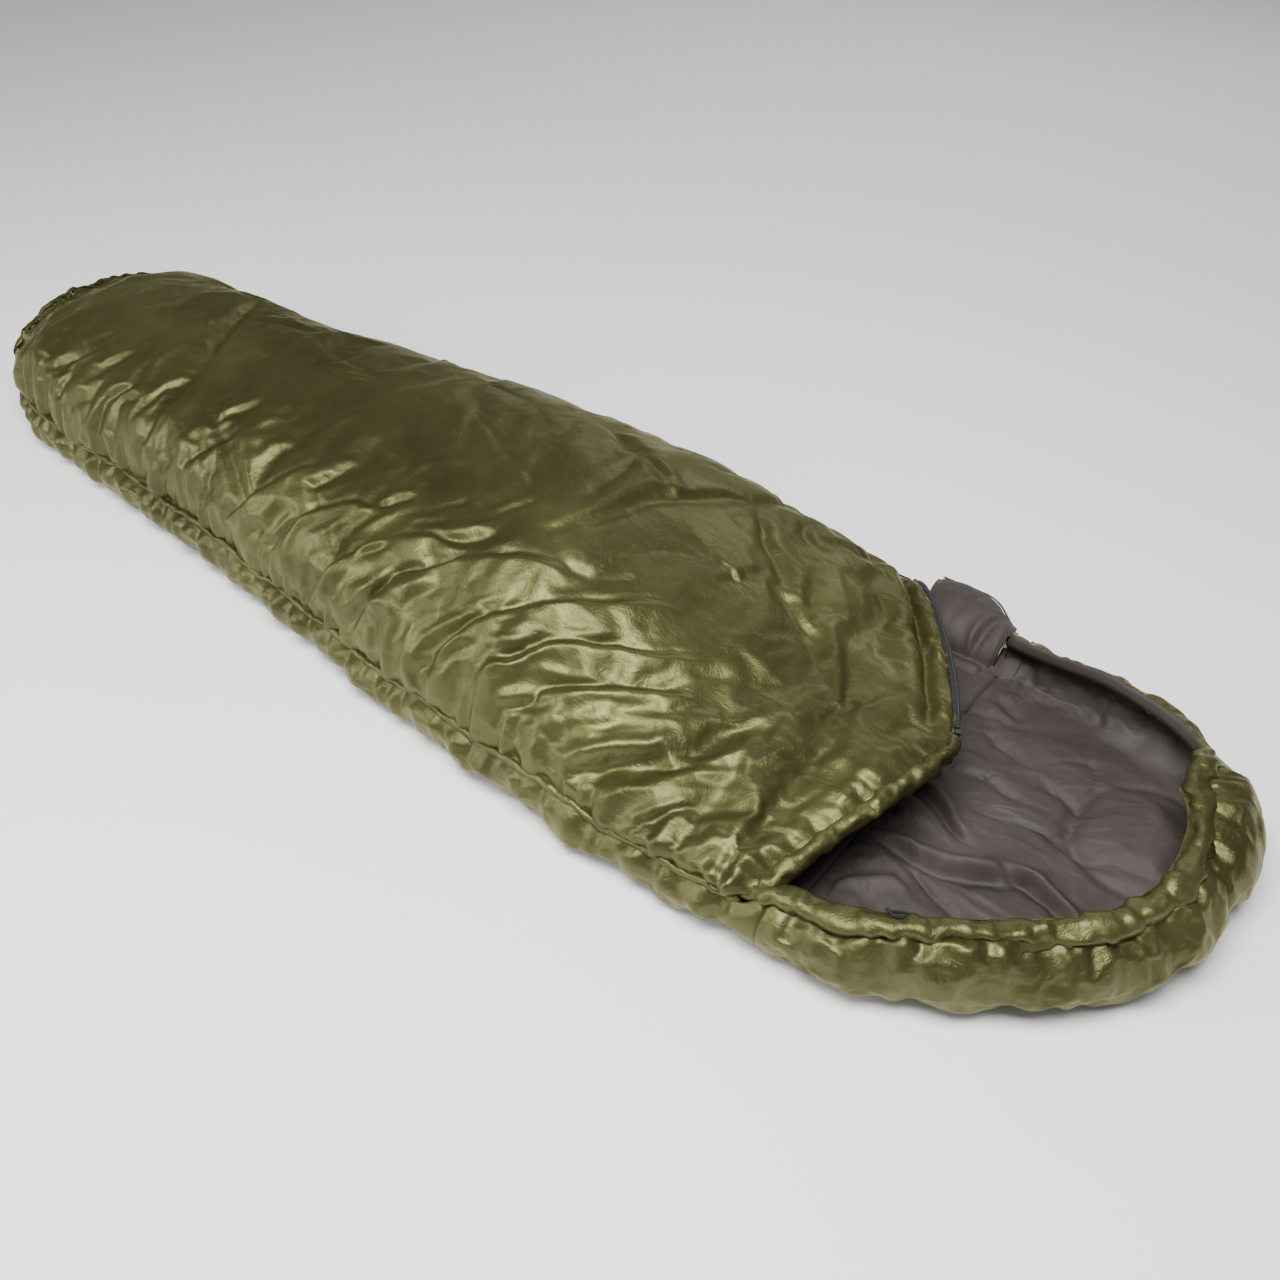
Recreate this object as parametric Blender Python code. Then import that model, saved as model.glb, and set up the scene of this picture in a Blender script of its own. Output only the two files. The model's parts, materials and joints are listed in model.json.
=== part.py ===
"""A mummy-shaped bivy sack lying on its back: padded bag with an open hood, side zip and drawcord.

Metres, +Z up. The bag lies along X with its foot at low X and its hood at high X. The zip side is +Y.
While modelling, X is measured from the foot's end and Y from the bag's middle line. centre_on_ground()
then moves the whole assembly so that the middle of its footprint is the origin.
"""

import math

import bmesh
import bpy
import numpy as np
from mathutils import Vector

# Overall form
BAG_LENGTH = 2.290
FOOT_WIDTH = 0.48
SHOULDER_WIDTH = 0.67
BODY_HEIGHT = 0.245
MOUTH_HEIGHT = 0.135
FOOT_DROP = 0.82
TAPER_START = 0.42
SHOULDER_AT = 1.62
ZIP_STRAIGHT_FROM = 1.27
HOOD_START = 1.715
FOOT_ROUND = 0.27
FOOT_SEAM = 0.13
FOOT_POLE_HEIGHT = 0.100
FOOT_LEAN = 0.035
HOOD_LEAN = 0.060
HOOD_NEAR_POWER = 2.15
HOOD_FAR_POWER = 2.3
MOUTH_SLOPE_BACK = 0.30
MOUTH_SLOPE_FORWARD = 0.12

# Base side wall and the seam where cover and base meet
WALL_REACH = 0.060
WALL_RISE = 0.046
SEAM_ANGLE = math.radians(35)
ARCH_POWER = 0.86

# Layers of every padded panel, from the outside in
SHELL_CLOTH = 0.0025
LINING_CLOTH = 0.0025
BODY_FILL = 0.0145
FLAP_FILL = 0.0080
LAYER_GAP = 0.0007
PANEL_GAP = 0.0015

# Mouth of the cover: its corner lies near the middle line, the zip edge runs back to the slider
MOUTH_CORNER = 1.932
ZIP_EDGE_BACK = 0.225
NECK_EDGE_BACK = 0.075
ZIP_EDGE_POWER = 1.3
NECK_EDGE_POWER = 1.2

# Hood bowl
HOOD_JOIN = 1.878
HOOD_WALL_RISE = 0.056
HOOD_FAR_TUCK = 0.030
HOOD_RIM_NEAR = math.radians(68)
HOOD_RIM_FAR = math.radians(112)
HOOD_SIDE_FROM = math.radians(70)
HOOD_SIDE_OVER = math.radians(20)
HOOD_LOWER_FROM = 1.2
HOOD_LOWER_OVER = 0.37
HOOD_CURL_FROM = -0.6
HOOD_CURL_OVER = 1.6
CHANNEL_RADIUS = 0.0095
CHANNEL_CLOTH = 0.0022
CHANNEL_START = 0.115
CHANNEL_END = 0.93
DRAWCORD_RADIUS = 0.0020

# Side flap, the base's side wall turned outwards beyond the slider
OPEN_STEP = 0.012
FLAP_START = 1.743
FLAP_LENGTH = 0.122
FLAP_WIDTH = 0.128
FLAP_ARCH = 0.048
FLAP_CORNER = 0.045
FLAP_CORNER_FROM = 0.45
FLAP_LEAN = 0.030
FLAP_ARCH_AT_START = 0.7
FLAP_ARCH_BUILD = 0.4
FLAP_EDGE_RISE = 0.004
FLAP_TURNED_UP = math.radians(12)
FLAP_FOLD_HEIGHT = 0.021
FLAP_FOLD_INSET = 0.012
FLAP_EDGE_GAP = 0.0030

# Zip
ZIP_BOTTOM = 0.40
ZIP_GAP_FROM = 0.035
ZIP_GAP_BY = 0.010
ZIP_TOP_GAP = 0.002
COIL_WIDTH = 0.0030
COIL_HEIGHT = 0.0026
COIL_SLOT = 0.0016
TAPE_WIDTH = 0.0075
TAPE_THICK = 0.0012
TAPE_GAP = 0.0004
SLIDER_LENGTH = 0.018
SLIDER_WALL = 0.0014
SLIDER_CLEARANCE = 0.0004
SLIDER_TOP_GAP = 0.004
SLIDER_LIP = 0.001
SLIDER_BRIDGE = 0.004
SLIDER_FLANGE_LAP = 0.0003
JOIN_OVERLAP = 0.0002
PULL_LENGTH = 0.032
PULL_WIDTH = 0.0085
PULL_THICK = 0.0016
PULL_FRAME = 0.0070
PULL_PLAY = 0.0003
EYE_WIDTH = 0.0020
EYE_BAR = 0.0012
EYE_POST = 0.0016
EYE_REACH = 0.0038
STOP_LENGTH = 0.005
STOP_GAP = 0.001

# Rolls and trim
HEM_RADIUS = 0.0085
HEM_CLEARANCE = 0.0030
HEM_CORNER_SHARE = 0.02
EDGE_TAPE_FROM = 0.985
EDGE_TAPE_TO = 0.10
EDGE_STOP_GAP = 0.012
EDGE_STOP_SHARE = 0.018
EDGE_STOP_PROUD = 0.0004
EDGE_ROLL_FROM = 0.80
EDGE_ROLL_TO = 0.06
DRAUGHT_RADIUS = 0.0110
DRAUGHT_END_GAP = 0.030
DRAUGHT_WALL_GAP = 0.008
PIPING_RADIUS = 0.0035
PIPING_OUT = 0.0045
PIPING_UP = 0.0012
PIPING_START_GAP = 0.020
PIPING_END_PAST_ZIP = 0.090

# Foot loop of webbing
LOOP_WIDTH = 0.024
LOOP_REACH = 0.028
LOOP_THICK = 0.0018
LOOP_INSIDE = 0.0055
LOOP_SWING_GAP = 0.0035

# Cord lock on the drawcord's end
LOCK_RADIUS = 0.0085
LOCK_LENGTH = 0.020
LOCK_WALL = 0.0016
LOCK_CORD_HOLE = 0.0027
LOCK_CORD_AT = 0.0135
LOCK_REST_GAP = 0.0008
LOCK_SLIDE = 0.012
LOCK_BEFORE_CHANNEL = 0.030
LOCK_FROM_RIM = 0.078
PLUNGER_CLEARANCE = 0.0003
PLUNGER_WEB = 0.0022
PLUNGER_PROUD = 0.0018
SPRING_END_GAP = 0.0004
KNOT_RADIUS = 0.0042
PLUNGER_TRAVEL = 0.004
SPRING_WIRE = 0.0005
SPRING_TURNS = 3
LOCK_SIDES = 14
TAIL_RADIUS = 0.0018


def material(name, colour, roughness, metallic=0.0):
    """A Principled BSDF material."""
    made = bpy.data.materials.new(name)
    made.use_nodes = True
    shader = made.node_tree.nodes["Principled BSDF"]
    shader.inputs["Base Color"].default_value = (*colour, 1.0)
    shader.inputs["Roughness"].default_value = roughness
    shader.inputs["Metallic"].default_value = metallic
    return made


def paint(obj, finish):
    """Give an object its own copy of a finish."""
    colour, roughness, metallic = FINISHES[finish]
    obj.data.materials.clear()
    obj.data.materials.append(material(f"{obj.name}_{finish}", colour, roughness, metallic))


FINISHES = {
    "olive_shell": ((0.105, 0.098, 0.032), 0.35, 0.0),
    "olive_trim": ((0.090, 0.085, 0.030), 0.45, 0.0),
    "taupe_lining": ((0.105, 0.088, 0.080), 0.80, 0.0),
    "white_fill": ((0.80, 0.80, 0.78), 0.95, 0.0),
    "black_webbing": ((0.012, 0.012, 0.013), 0.75, 0.0),
    "black_coil": ((0.010, 0.010, 0.011), 0.40, 0.0),
    "black_plastic": ((0.014, 0.014, 0.015), 0.45, 0.0),
    "dark_metal": ((0.060, 0.060, 0.062), 0.35, 1.0),
    "spring_steel": ((0.55, 0.55, 0.56), 0.25, 1.0),
}


# Meshes


def smoothstep(value):
    value = np.clip(value, 0.0, 1.0)
    return value * value * (3.0 - 2.0 * value)


def unit(vectors):
    return vectors / np.linalg.norm(vectors, axis=-1, keepdims=True)


def signed_volume(points, faces):
    corners = np.asarray(points, float)[np.asarray(faces)]
    return float(np.einsum("ij,ij->i", corners[:, 0], np.cross(corners[:, 1], corners[:, 2])).sum())


def solid(name, points, faces, finish, origin=(0.0, 0.0, 0.0)):
    """A closed triangle mesh with its faces out, as an object whose origin is at the given point."""
    if signed_volume(points, faces) < 0:
        faces = [tuple(reversed(face)) for face in faces]
    local = np.asarray(points, float) - np.asarray(origin, float)
    mesh = bpy.data.meshes.new(name)
    mesh.from_pydata([tuple(point) for point in local], [], [tuple(face) for face in faces])
    mesh.update()
    obj = bpy.data.objects.new(name, mesh)
    bpy.context.collection.objects.link(obj)
    obj.location = origin
    paint(obj, finish)
    return obj


def grid_faces(rows, columns, around=False):
    """Triangles of a grid of points; around joins its last row to its first."""
    faces = []
    for row in range(rows if around else rows - 1):
        following = (row + 1) % rows
        for column in range(columns - 1):
            low, high = row * columns + column, following * columns + column
            faces.append((low, high, high + 1))
            faces.append((low, high + 1, low + 1))
    return faces


def between_layers(name, faces, outer, inner, finish, origin=(0.0, 0.0, 0.0)):
    """The solid between two sheets that share their triangles, closed along their open edges."""
    count = len(outer)
    directed = {(face[k], face[(k + 1) % 3]) for face in faces for k in range(3)}
    closed = list(faces) + [(a + count, c + count, b + count) for a, b, c in faces]
    for a, b in sorted(directed):
        if (b, a) not in directed:
            closed.append((b, a, a + count))
            closed.append((b, a + count, b + count))
    return solid(name, np.vstack([outer, inner]), closed, finish, origin)


def padded_panel(prefix, faces, points, normals, fill, origin=(0.0, 0.0, 0.0)):
    """Shell, fill and lining of one panel, each a solid of its own, from the outer face inwards."""
    depth = 0.0
    layers = (("shell", SHELL_CLOTH, "olive_shell"), ("fill", fill, "white_fill"),
              ("lining", LINING_CLOTH, "taupe_lining"))
    for layer, thickness, finish in layers:
        between_layers(f"{prefix}_{layer}", faces, points - normals * depth,
                       points - normals * (depth + thickness), finish, origin)
        depth += thickness + LAYER_GAP


def panel_depth(fill):
    return SHELL_CLOTH + fill + LINING_CLOTH + 2 * LAYER_GAP


def surface_grid(function, first, second):
    """Points and unit normals of function(u, v) on a grid. The normal is d/du x d/dv."""
    step = 1e-4
    u, v = np.meshgrid(np.asarray(first, float), np.asarray(second, float), indexing="ij")
    along = function(u + step, v) - function(u - step, v)
    across = function(u, v + step) - function(u, v - step)
    return function(u, v).reshape(-1, 3), unit(np.cross(along, across)).reshape(-1, 3)


def sweep(name, path, outs, ups, profile, finish, origin=(0.0, 0.0, 0.0)):
    """A bar whose profile, given as (out, up) pairs, is carried along a path."""
    count = len(profile)
    points = []
    for place, out, up in zip(path, outs, ups):
        points += [place + out * a + up * b for a, b in profile]
    faces = []
    for row in range(len(path) - 1):
        for k in range(count):
            low, high = row * count + k, row * count + (k + 1) % count
            faces.append((low, high, high + count))
            faces.append((low, high + count, low + count))
    last = (len(path) - 1) * count
    for k in range(1, count - 1):
        faces.append((0, k + 1, k))
        faces.append((last, last + k, last + k + 1))
    return solid(name, np.array(points), faces, finish, origin)


def circle_profile(radius, sides):
    return [(radius * math.cos(k * math.tau / sides), radius * math.sin(k * math.tau / sides))
            for k in range(sides)]


def box_profile(out_low, out_high, up_low, up_high):
    return [(out_low, up_low), (out_high, up_low), (out_high, up_high), (out_low, up_high)]


def path_frames(path, hint):
    """Tangents, and the out and up directions square to them; up leans towards the hint."""
    tangents = unit(np.gradient(path, axis=0))
    outs = unit(np.cross(tangents, hint))
    return tangents, outs, unit(np.cross(outs, tangents))


def curve_through(points, count):
    """A smooth open curve through the given points, read at even steps along it."""
    points = np.asarray(points, float)
    knots = np.concatenate([[0.0], np.cumsum(np.linalg.norm(np.diff(points, axis=0), axis=1))])
    slopes = np.gradient(points, knots, axis=0)
    where = np.linspace(0.0, knots[-1], count)
    index = np.clip(np.searchsorted(knots, where, side="right") - 1, 0, len(knots) - 2)
    span = (knots[index + 1] - knots[index])[:, None]
    t = ((where - knots[index])[:, None]) / span
    return (
        (2 * t**3 - 3 * t**2 + 1) * points[index]
        + (t**3 - 2 * t**2 + t) * span * slopes[index]
        + (3 * t**2 - 2 * t**3) * points[index + 1]
        + (t**3 - t**2) * span * slopes[index + 1]
    )


# The bag's form


def half_width(x, full_at):
    """Half the greatest width of the bag's body at x, on a side that reaches its full width at full_at."""
    foot, shoulder = FOOT_WIDTH / 2, SHOULDER_WIDTH / 2
    return foot + (shoulder - foot) * smoothstep((x - TAPER_START) / (full_at - TAPER_START))


def near_width(x):
    return half_width(x, SHOULDER_AT)


def zip_width(x):
    """On the zip side the bag widens sooner, so that the slider's stretch of zip is straight."""
    return half_width(x, ZIP_STRAIGHT_FROM)


def middle_line(x):
    """The foot leans a little to the zip side."""
    return FOOT_LEAN * (1.0 - smoothstep(x / (2 * FOOT_ROUND)))


def foot_scale(x):
    """Sections shrink towards the foot's pole on a quarter ellipse."""
    closeness = np.clip(1.0 - x / FOOT_ROUND, 0.0, 1.0)
    return np.sqrt(np.clip(1.0 - closeness**2, 1e-9, 1.0))


def top_height(x):
    """Height of the cover along the bag: full over the body, lower at the mouth."""
    slope_start, slope_end = SHOULDER_AT - MOUTH_SLOPE_BACK, HOOD_START + MOUTH_SLOPE_FORWARD
    drop = smoothstep((x - slope_start) / (slope_end - slope_start))
    rise = FOOT_DROP + (1 - FOOT_DROP) * smoothstep(x / (2 * FOOT_ROUND))
    return BODY_HEIGHT * rise * (1 - drop) + MOUTH_HEIGHT * drop


SEAM_HEIGHT = WALL_RISE * (1 + math.sin(SEAM_ANGLE))
SEAM_INSET = WALL_REACH * (1 - math.cos(SEAM_ANGLE))
ZIP_HALF = COIL_SLOT / 2 + COIL_WIDTH + TAPE_WIDTH
COVER_EDGE = TAPE_GAP + ZIP_HALF
ZIP_EDGE_STEP = (ZIP_BOTTOM - ZIP_GAP_FROM, ZIP_BOTTOM - ZIP_GAP_BY)


def towards_pole(x, y, z):
    scale = foot_scale(x)
    return np.stack([x + 0.0 * y, middle_line(x) + y * scale,
                     FOOT_POLE_HEIGHT + (z - FOOT_POLE_HEIGHT) * scale], axis=-1)


def zip_edge_gap(x):
    """Seam line to the panels' edges on the zip side: room for the zip, or none below its stop."""
    first, last = ZIP_EDGE_STEP
    return PANEL_GAP / 2 + (COVER_EDGE - PANEL_GAP / 2) * smoothstep((x - first) / (last - first))


def cover_point(x, angle):
    """Outer face of the cover: angle 0 at the near seam, pi at the zip."""
    reach = np.where(angle < math.pi / 2, near_width(x), zip_width(x)) - SEAM_INSET
    share = np.clip(angle / math.pi, 0.0, 1.0)
    low = SEAM_HEIGHT + PANEL_GAP / 2 + (zip_edge_gap(x) - PANEL_GAP / 2) * share
    arch = np.sign(np.sin(angle)) * np.abs(np.sin(angle)) ** ARCH_POWER
    return towards_pole(x, -reach * np.cos(angle), low + (top_height(x) - low) * arch)


def wall_profile(turn):
    """Side wall of the base from the floor (turn -90 degrees) up: offset from the widest line, height."""
    return -WALL_REACH * (1 - np.cos(turn)), WALL_RISE * (1 + np.sin(turn))


def base_top_turn(edge_gap):
    """The turn at which the side wall ends, a gap below the seam's height."""
    return np.arcsin((SEAM_HEIGHT - edge_gap) / WALL_RISE - 1)


NEAR_TURN = base_top_turn(PANEL_GAP / 2)
FLOOR_TURN = -math.pi / 2


def base_point(x, place):
    """Outer face of the base: place 0 to 1 down the near wall, 1 to 2 the floor, 2 to 3 up the far wall."""
    near, far = near_width(x), zip_width(x)
    open_side = smoothstep((x - ZIP_TOP) / OPEN_STEP)
    closed_turn = base_top_turn(zip_edge_gap(x))
    far_end = closed_turn + (FLOOR_TURN + FLAP_TURNED_UP - closed_turn) * open_side
    near_turn = NEAR_TURN + (FLOOR_TURN - NEAR_TURN) * np.clip(place, 0.0, 1.0)
    far_turn = FLOOR_TURN + (far_end - FLOOR_TURN) * np.clip(place - 2.0, 0.0, 1.0)
    near_y, near_z = wall_profile(near_turn)
    far_y, far_z = wall_profile(far_turn)
    across = np.clip(place - 1.0, 0.0, 1.0)
    flat = (near + far - 2 * WALL_REACH) * across - (near - WALL_REACH)
    y = np.where(place < 1.0, -(near + near_y), np.where(place < 2.0, flat, far + far_y))
    z = np.where(place < 1.0, near_z, np.where(place < 2.0, 0.0, far_z))
    return towards_pole(x, y, z)


def mouth_edge(angle):
    """X of the cover's front edge: corner near the middle, zip edge and neck edge running back from it."""
    side = -np.cos(angle)
    zip_back = ZIP_EDGE_BACK * np.clip(side, 0.0, 1.0) ** ZIP_EDGE_POWER
    neck_back = NECK_EDGE_BACK * np.clip(-side, 0.0, 1.0) ** NECK_EDGE_POWER
    return MOUTH_CORNER - zip_back - neck_back


ZIP_TOP = MOUTH_CORNER - ZIP_EDGE_BACK


def cover_sheet(along, angle):
    """The cover between the foot seam (along 0) and its front edge (along 1)."""
    start = FOOT_SEAM + PANEL_GAP
    return cover_point(start + along * (mouth_edge(angle) - start), angle)


def normals_of_base(x, place):
    """Unit normals of the base's outer face, worked out inside each stretch of the profile."""
    step = 1e-4
    eased = np.where(np.abs(place - 1.0) < 2 * step, place + 2 * step, place)
    eased = np.where(np.abs(eased - 2.0) < 2 * step, eased - 2 * step, eased)
    eased = np.clip(eased, step, 3.0 - step)
    along = base_point(x + step, eased) - base_point(x - step, eased)
    across = base_point(x, eased + step) - base_point(x, eased - step)
    return unit(np.cross(along, across))


def make_cover():
    start = FOOT_SEAM + PANEL_GAP
    steps = (np.array(ZIP_EDGE_STEP) - start) / (ZIP_TOP - start)
    along = np.concatenate([np.linspace(0.0, steps[0], 3), np.linspace(steps[1], 1.0, 13)])
    angle = np.linspace(0.0, math.pi, 12)
    points, normals = surface_grid(cover_sheet, along, angle)
    padded_panel("cover", grid_faces(len(along), len(angle)), points, normals, BODY_FILL)


def make_base():
    stations = np.concatenate([
        np.linspace(FOOT_SEAM + PANEL_GAP, FOOT_ROUND, 3)[:-1],
        [FOOT_ROUND, *ZIP_EDGE_STEP],
        np.linspace(ZIP_EDGE_STEP[1], ZIP_TOP, 10)[1:],
        [ZIP_TOP + OPEN_STEP, HOOD_JOIN - PANEL_GAP],
    ])
    place = np.array([0.0, 0.25, 0.5, 0.75, 1.0, 1.5, 2.0, 2.25, 2.5, 2.75, 3.0])
    x, p = np.meshgrid(stations, place, indexing="ij")
    points = base_point(x, p).reshape(-1, 3)
    normals = normals_of_base(x, p).reshape(-1, 3)
    padded_panel("base", grid_faces(len(stations), len(place)), points, -normals, BODY_FILL)


def make_foot():
    """Domed panel that closes the foot: rings of the bag's section shrinking to the pole."""
    limit = math.acos(1.0 - (FOOT_SEAM - PANEL_GAP) / FOOT_ROUND)
    rings = np.linspace(0.0, limit, 5)[1:]
    cover_turns = np.linspace(0.0, math.pi, 9)[:-1]
    base_turns = np.array([3.0, 2.5, 2.0, 1.5, 1.0, 0.5])

    def ring_points(turn):
        x = FOOT_ROUND * (1.0 - np.cos(turn))
        over = cover_point(x + 0.0 * cover_turns, cover_turns)
        under = base_point(x + 0.0 * base_turns, base_turns)
        return np.vstack([over, under])

    rows = [ring_points(turn) for turn in rings]
    count = len(rows[0])
    pole = np.array([[0.0, middle_line(0.0), FOOT_POLE_HEIGHT]])
    points = np.vstack([pole] + rows)
    inward = []
    for turn, row in zip(rings, rows):
        spread = ring_points(turn + 1e-4) - ring_points(turn - 1e-4)
        around = np.roll(row, -1, axis=0) - np.roll(row, 1, axis=0)
        inward.append(unit(np.cross(around, spread)))
    normals = np.vstack([[[-1.0, 0.0, 0.0]]] + inward)
    middle = np.array([FOOT_ROUND, middle_line(0.0), FOOT_POLE_HEIGHT])
    facing = np.sign(np.einsum("ij,ij->i", normals, points - middle))
    normals = normals * facing[:, None]
    faces = [(0, 1 + (k + 1) % count, 1 + k) for k in range(count)]
    for ring in range(len(rows) - 1):
        low = 1 + ring * count
        for k in range(count):
            after = (k + 1) % count
            faces.append((low + k, low + after, low + count + after))
            faces.append((low + k, low + count + after, low + count + k))
    padded_panel("foot", faces, points, normals, BODY_FILL)


# Hood


def hood_outline(turn):
    """Widest line of the hood seen from above: turn -90 degrees at the near join, 90 at the far join."""
    reach = BAG_LENGTH - HOOD_START
    bearing = np.clip(turn, -math.pi / 2, math.pi / 2)
    power = np.where(bearing < 0, HOOD_NEAR_POWER, HOOD_FAR_POWER)
    forward = np.abs(np.cos(bearing)) ** (2.0 / power)
    sideways = np.sign(bearing) * np.abs(np.sin(bearing)) ** (2.0 / power)
    share = np.clip((HOOD_JOIN - HOOD_START) / reach, 0.0, 0.99)
    start = HOOD_JOIN + PANEL_GAP
    limit_near = (1 - share**HOOD_NEAR_POWER) ** (1 / HOOD_NEAR_POWER)
    limit_far = (1 - share**HOOD_FAR_POWER) ** (1 / HOOD_FAR_POWER)
    side = np.where(bearing < 0, limit_near, limit_far) * SHOULDER_WIDTH / 2
    x = start + (BAG_LENGTH - start) * forward
    tuck = HOOD_FAR_TUCK * np.sin(2 * np.clip(bearing, 0.0, math.pi / 2))
    y = side * sideways + HOOD_LEAN * smoothstep(forward) - tuck
    return x, y


def hood_frame(turn):
    """A point on the hood's widest line and the outward direction square to it, seen from above."""
    step = 1e-3
    low, high = np.maximum(turn - step, -math.pi / 2), np.minimum(turn + step, math.pi / 2)
    x, y = hood_outline(turn)
    x_low, y_low = hood_outline(low)
    x_high, y_high = hood_outline(high)
    run = unit(np.stack([x_high - x_low, y_high - y_low], axis=-1))
    return x, y, run[..., 1], -run[..., 0]


def hood_point(turn, place):
    """Outer face of the hood bowl: place 0 to 1 over the floor from the fan's middle, 1 to 2 up the wall."""
    x, y, out_x, out_y = hood_frame(turn)
    straight = smoothstep((np.abs(turn) - HOOD_SIDE_FROM) / HOOD_SIDE_OVER)
    out_x, out_y = out_x * (1 - straight), out_y * (1 - straight) + np.sign(turn) * straight
    length = np.sqrt(out_x**2 + out_y**2)
    out_x, out_y = out_x / length, out_y / length
    lower = smoothstep((np.abs(turn) - HOOD_LOWER_FROM) / HOOD_LOWER_OVER)
    lift = HOOD_WALL_RISE + (WALL_RISE - HOOD_WALL_RISE) * lower
    climb = np.clip(place - 1.0, 0.0, 1.0)
    curl = smoothstep((turn - HOOD_CURL_FROM) / HOOD_CURL_OVER)
    rim_turn = HOOD_RIM_NEAR + (HOOD_RIM_FAR - HOOD_RIM_NEAR) * curl
    wall_turn = FLOOR_TURN + (rim_turn - FLOOR_TURN) * climb
    offset = -WALL_REACH * (1 - np.cos(wall_turn))
    height = np.where(place < 1.0, 0.0, lift * (1 + np.sin(wall_turn)))
    edge_x, edge_y = x - WALL_REACH * out_x, y - WALL_REACH * out_y
    floor = np.clip(place, 0.0, 1.0)
    fan_x = HOOD_JOIN + PANEL_GAP
    flat_x, flat_y = fan_x + (edge_x - fan_x) * floor, edge_y * floor
    wall_x, wall_y = x + offset * out_x, y + offset * out_y
    on_floor = place < 1.0
    return np.stack([np.where(on_floor, flat_x, wall_x), np.where(on_floor, flat_y, wall_y), height], axis=-1)


HOOD_TURNS = 17
HOOD_PLACES = (0.5, 1.0, 1.2, 1.4, 1.6, 1.8, 2.0)


def hood_grid():
    turns = np.linspace(-math.pi / 2, math.pi / 2, HOOD_TURNS)
    places = np.array(HOOD_PLACES)
    t, p = np.meshgrid(turns, places, indexing="ij")
    points = hood_point(t, p)
    step = 1e-3
    inside_t = np.clip(t, -math.pi / 2 + step, math.pi / 2 - step)
    inside_p = np.clip(np.where(np.abs(p - 1.0) < step, p - 2 * step, p), step, 2.0 - step)
    around = hood_point(inside_t + step / 2, inside_p) - hood_point(inside_t - step / 2, inside_p)
    up = hood_point(inside_t, inside_p + step / 2) - hood_point(inside_t, inside_p - step / 2)
    normals = unit(np.cross(around, up))
    first_wall_row = int(np.argmax(places > 1.0))
    if normals[0, first_wall_row, 1] > 0:
        normals = -normals
    normals = np.where((p <= 1.0)[..., None], np.array([0.0, 0.0, -1.0]), normals)
    normals[0, :, 0] = 0.0
    normals[-1, :, 0] = 0.0
    return points, unit(normals)


def make_hood():
    points, normals = hood_grid()
    turns, places = points.shape[:2]
    centre = np.array([[HOOD_JOIN + PANEL_GAP, 0.0, 0.0]])
    outer = np.vstack([points.reshape(-1, 3), centre])
    outward = np.vstack([normals.reshape(-1, 3), [[0.0, 0.0, -1.0]]])
    faces = grid_faces(turns, places)
    fan = turns * places
    for turn in range(turns - 1):
        faces.append((fan, (turn + 1) * places, turn * places))
    padded_panel("hood", faces, outer, outward, BODY_FILL)


def rim_path(first, last, count, out, up):
    """A line beside the hood's rim: out and up are measured from the rim's outer edge."""
    turns = np.linspace(-math.pi / 2 + math.pi * first, -math.pi / 2 + math.pi * last, count)
    edge = hood_point(turns, 2.0 + 0.0 * turns)
    _, _, out_x, out_y = hood_frame(turns)
    outward = unit(np.stack([out_x, out_y, 0.0 * out_x], axis=-1))
    return edge + outward * out + np.array([0.0, 0.0, 1.0]) * up


CHANNEL_OUT = -0.004
CHANNEL_UP = CHANNEL_RADIUS + PANEL_GAP


def channel_path(count):
    return rim_path(CHANNEL_START, CHANNEL_END, count, CHANNEL_OUT, CHANNEL_UP)


def make_channel():
    """The cloth tunnel on the rim, open at both ends, with the drawcord inside it."""
    path = channel_path(25)
    _, outs, ups = path_frames(path, np.array([0.0, 0.0, 1.0]))
    sides = 8
    rings = []
    for radius in (CHANNEL_RADIUS, CHANNEL_RADIUS - CHANNEL_CLOTH):
        profile = circle_profile(radius, sides)
        rings.append(np.array([[place + out * a + up * b for a, b in profile]
                               for place, out, up in zip(path, outs, ups)]))
    faces = []
    for row in range(len(path) - 1):
        for k in range(sides):
            low, high = row * sides + k, row * sides + (k + 1) % sides
            faces.append((low, high, high + sides))
            faces.append((low, high + sides, low + sides))
    between_layers("hood_channel", faces, rings[0].reshape(-1, 3), rings[1].reshape(-1, 3), "olive_trim")
    cord = channel_path(34)[1:-1]
    _, cord_outs, cord_ups = path_frames(cord, np.array([0.0, 0.0, 1.0]))
    sweep("hood_drawcord", cord, cord_outs, cord_ups, circle_profile(DRAWCORD_RADIUS, 6), "black_webbing")


def lining_floor():
    return panel_depth(BODY_FILL)


def lock_place():
    """Middle of the cord where it passes through the lock, which lies on the lining beside the near rim."""
    x, y, out_x, out_y = hood_frame(np.array([-math.pi / 2 + math.pi * CHANNEL_START]))
    return np.array([x[0] - LOCK_BEFORE_CHANNEL, y[0] - LOCK_FROM_RIM * out_y[0],
                     lining_floor() + LOCK_RADIUS + LOCK_REST_GAP])


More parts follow.
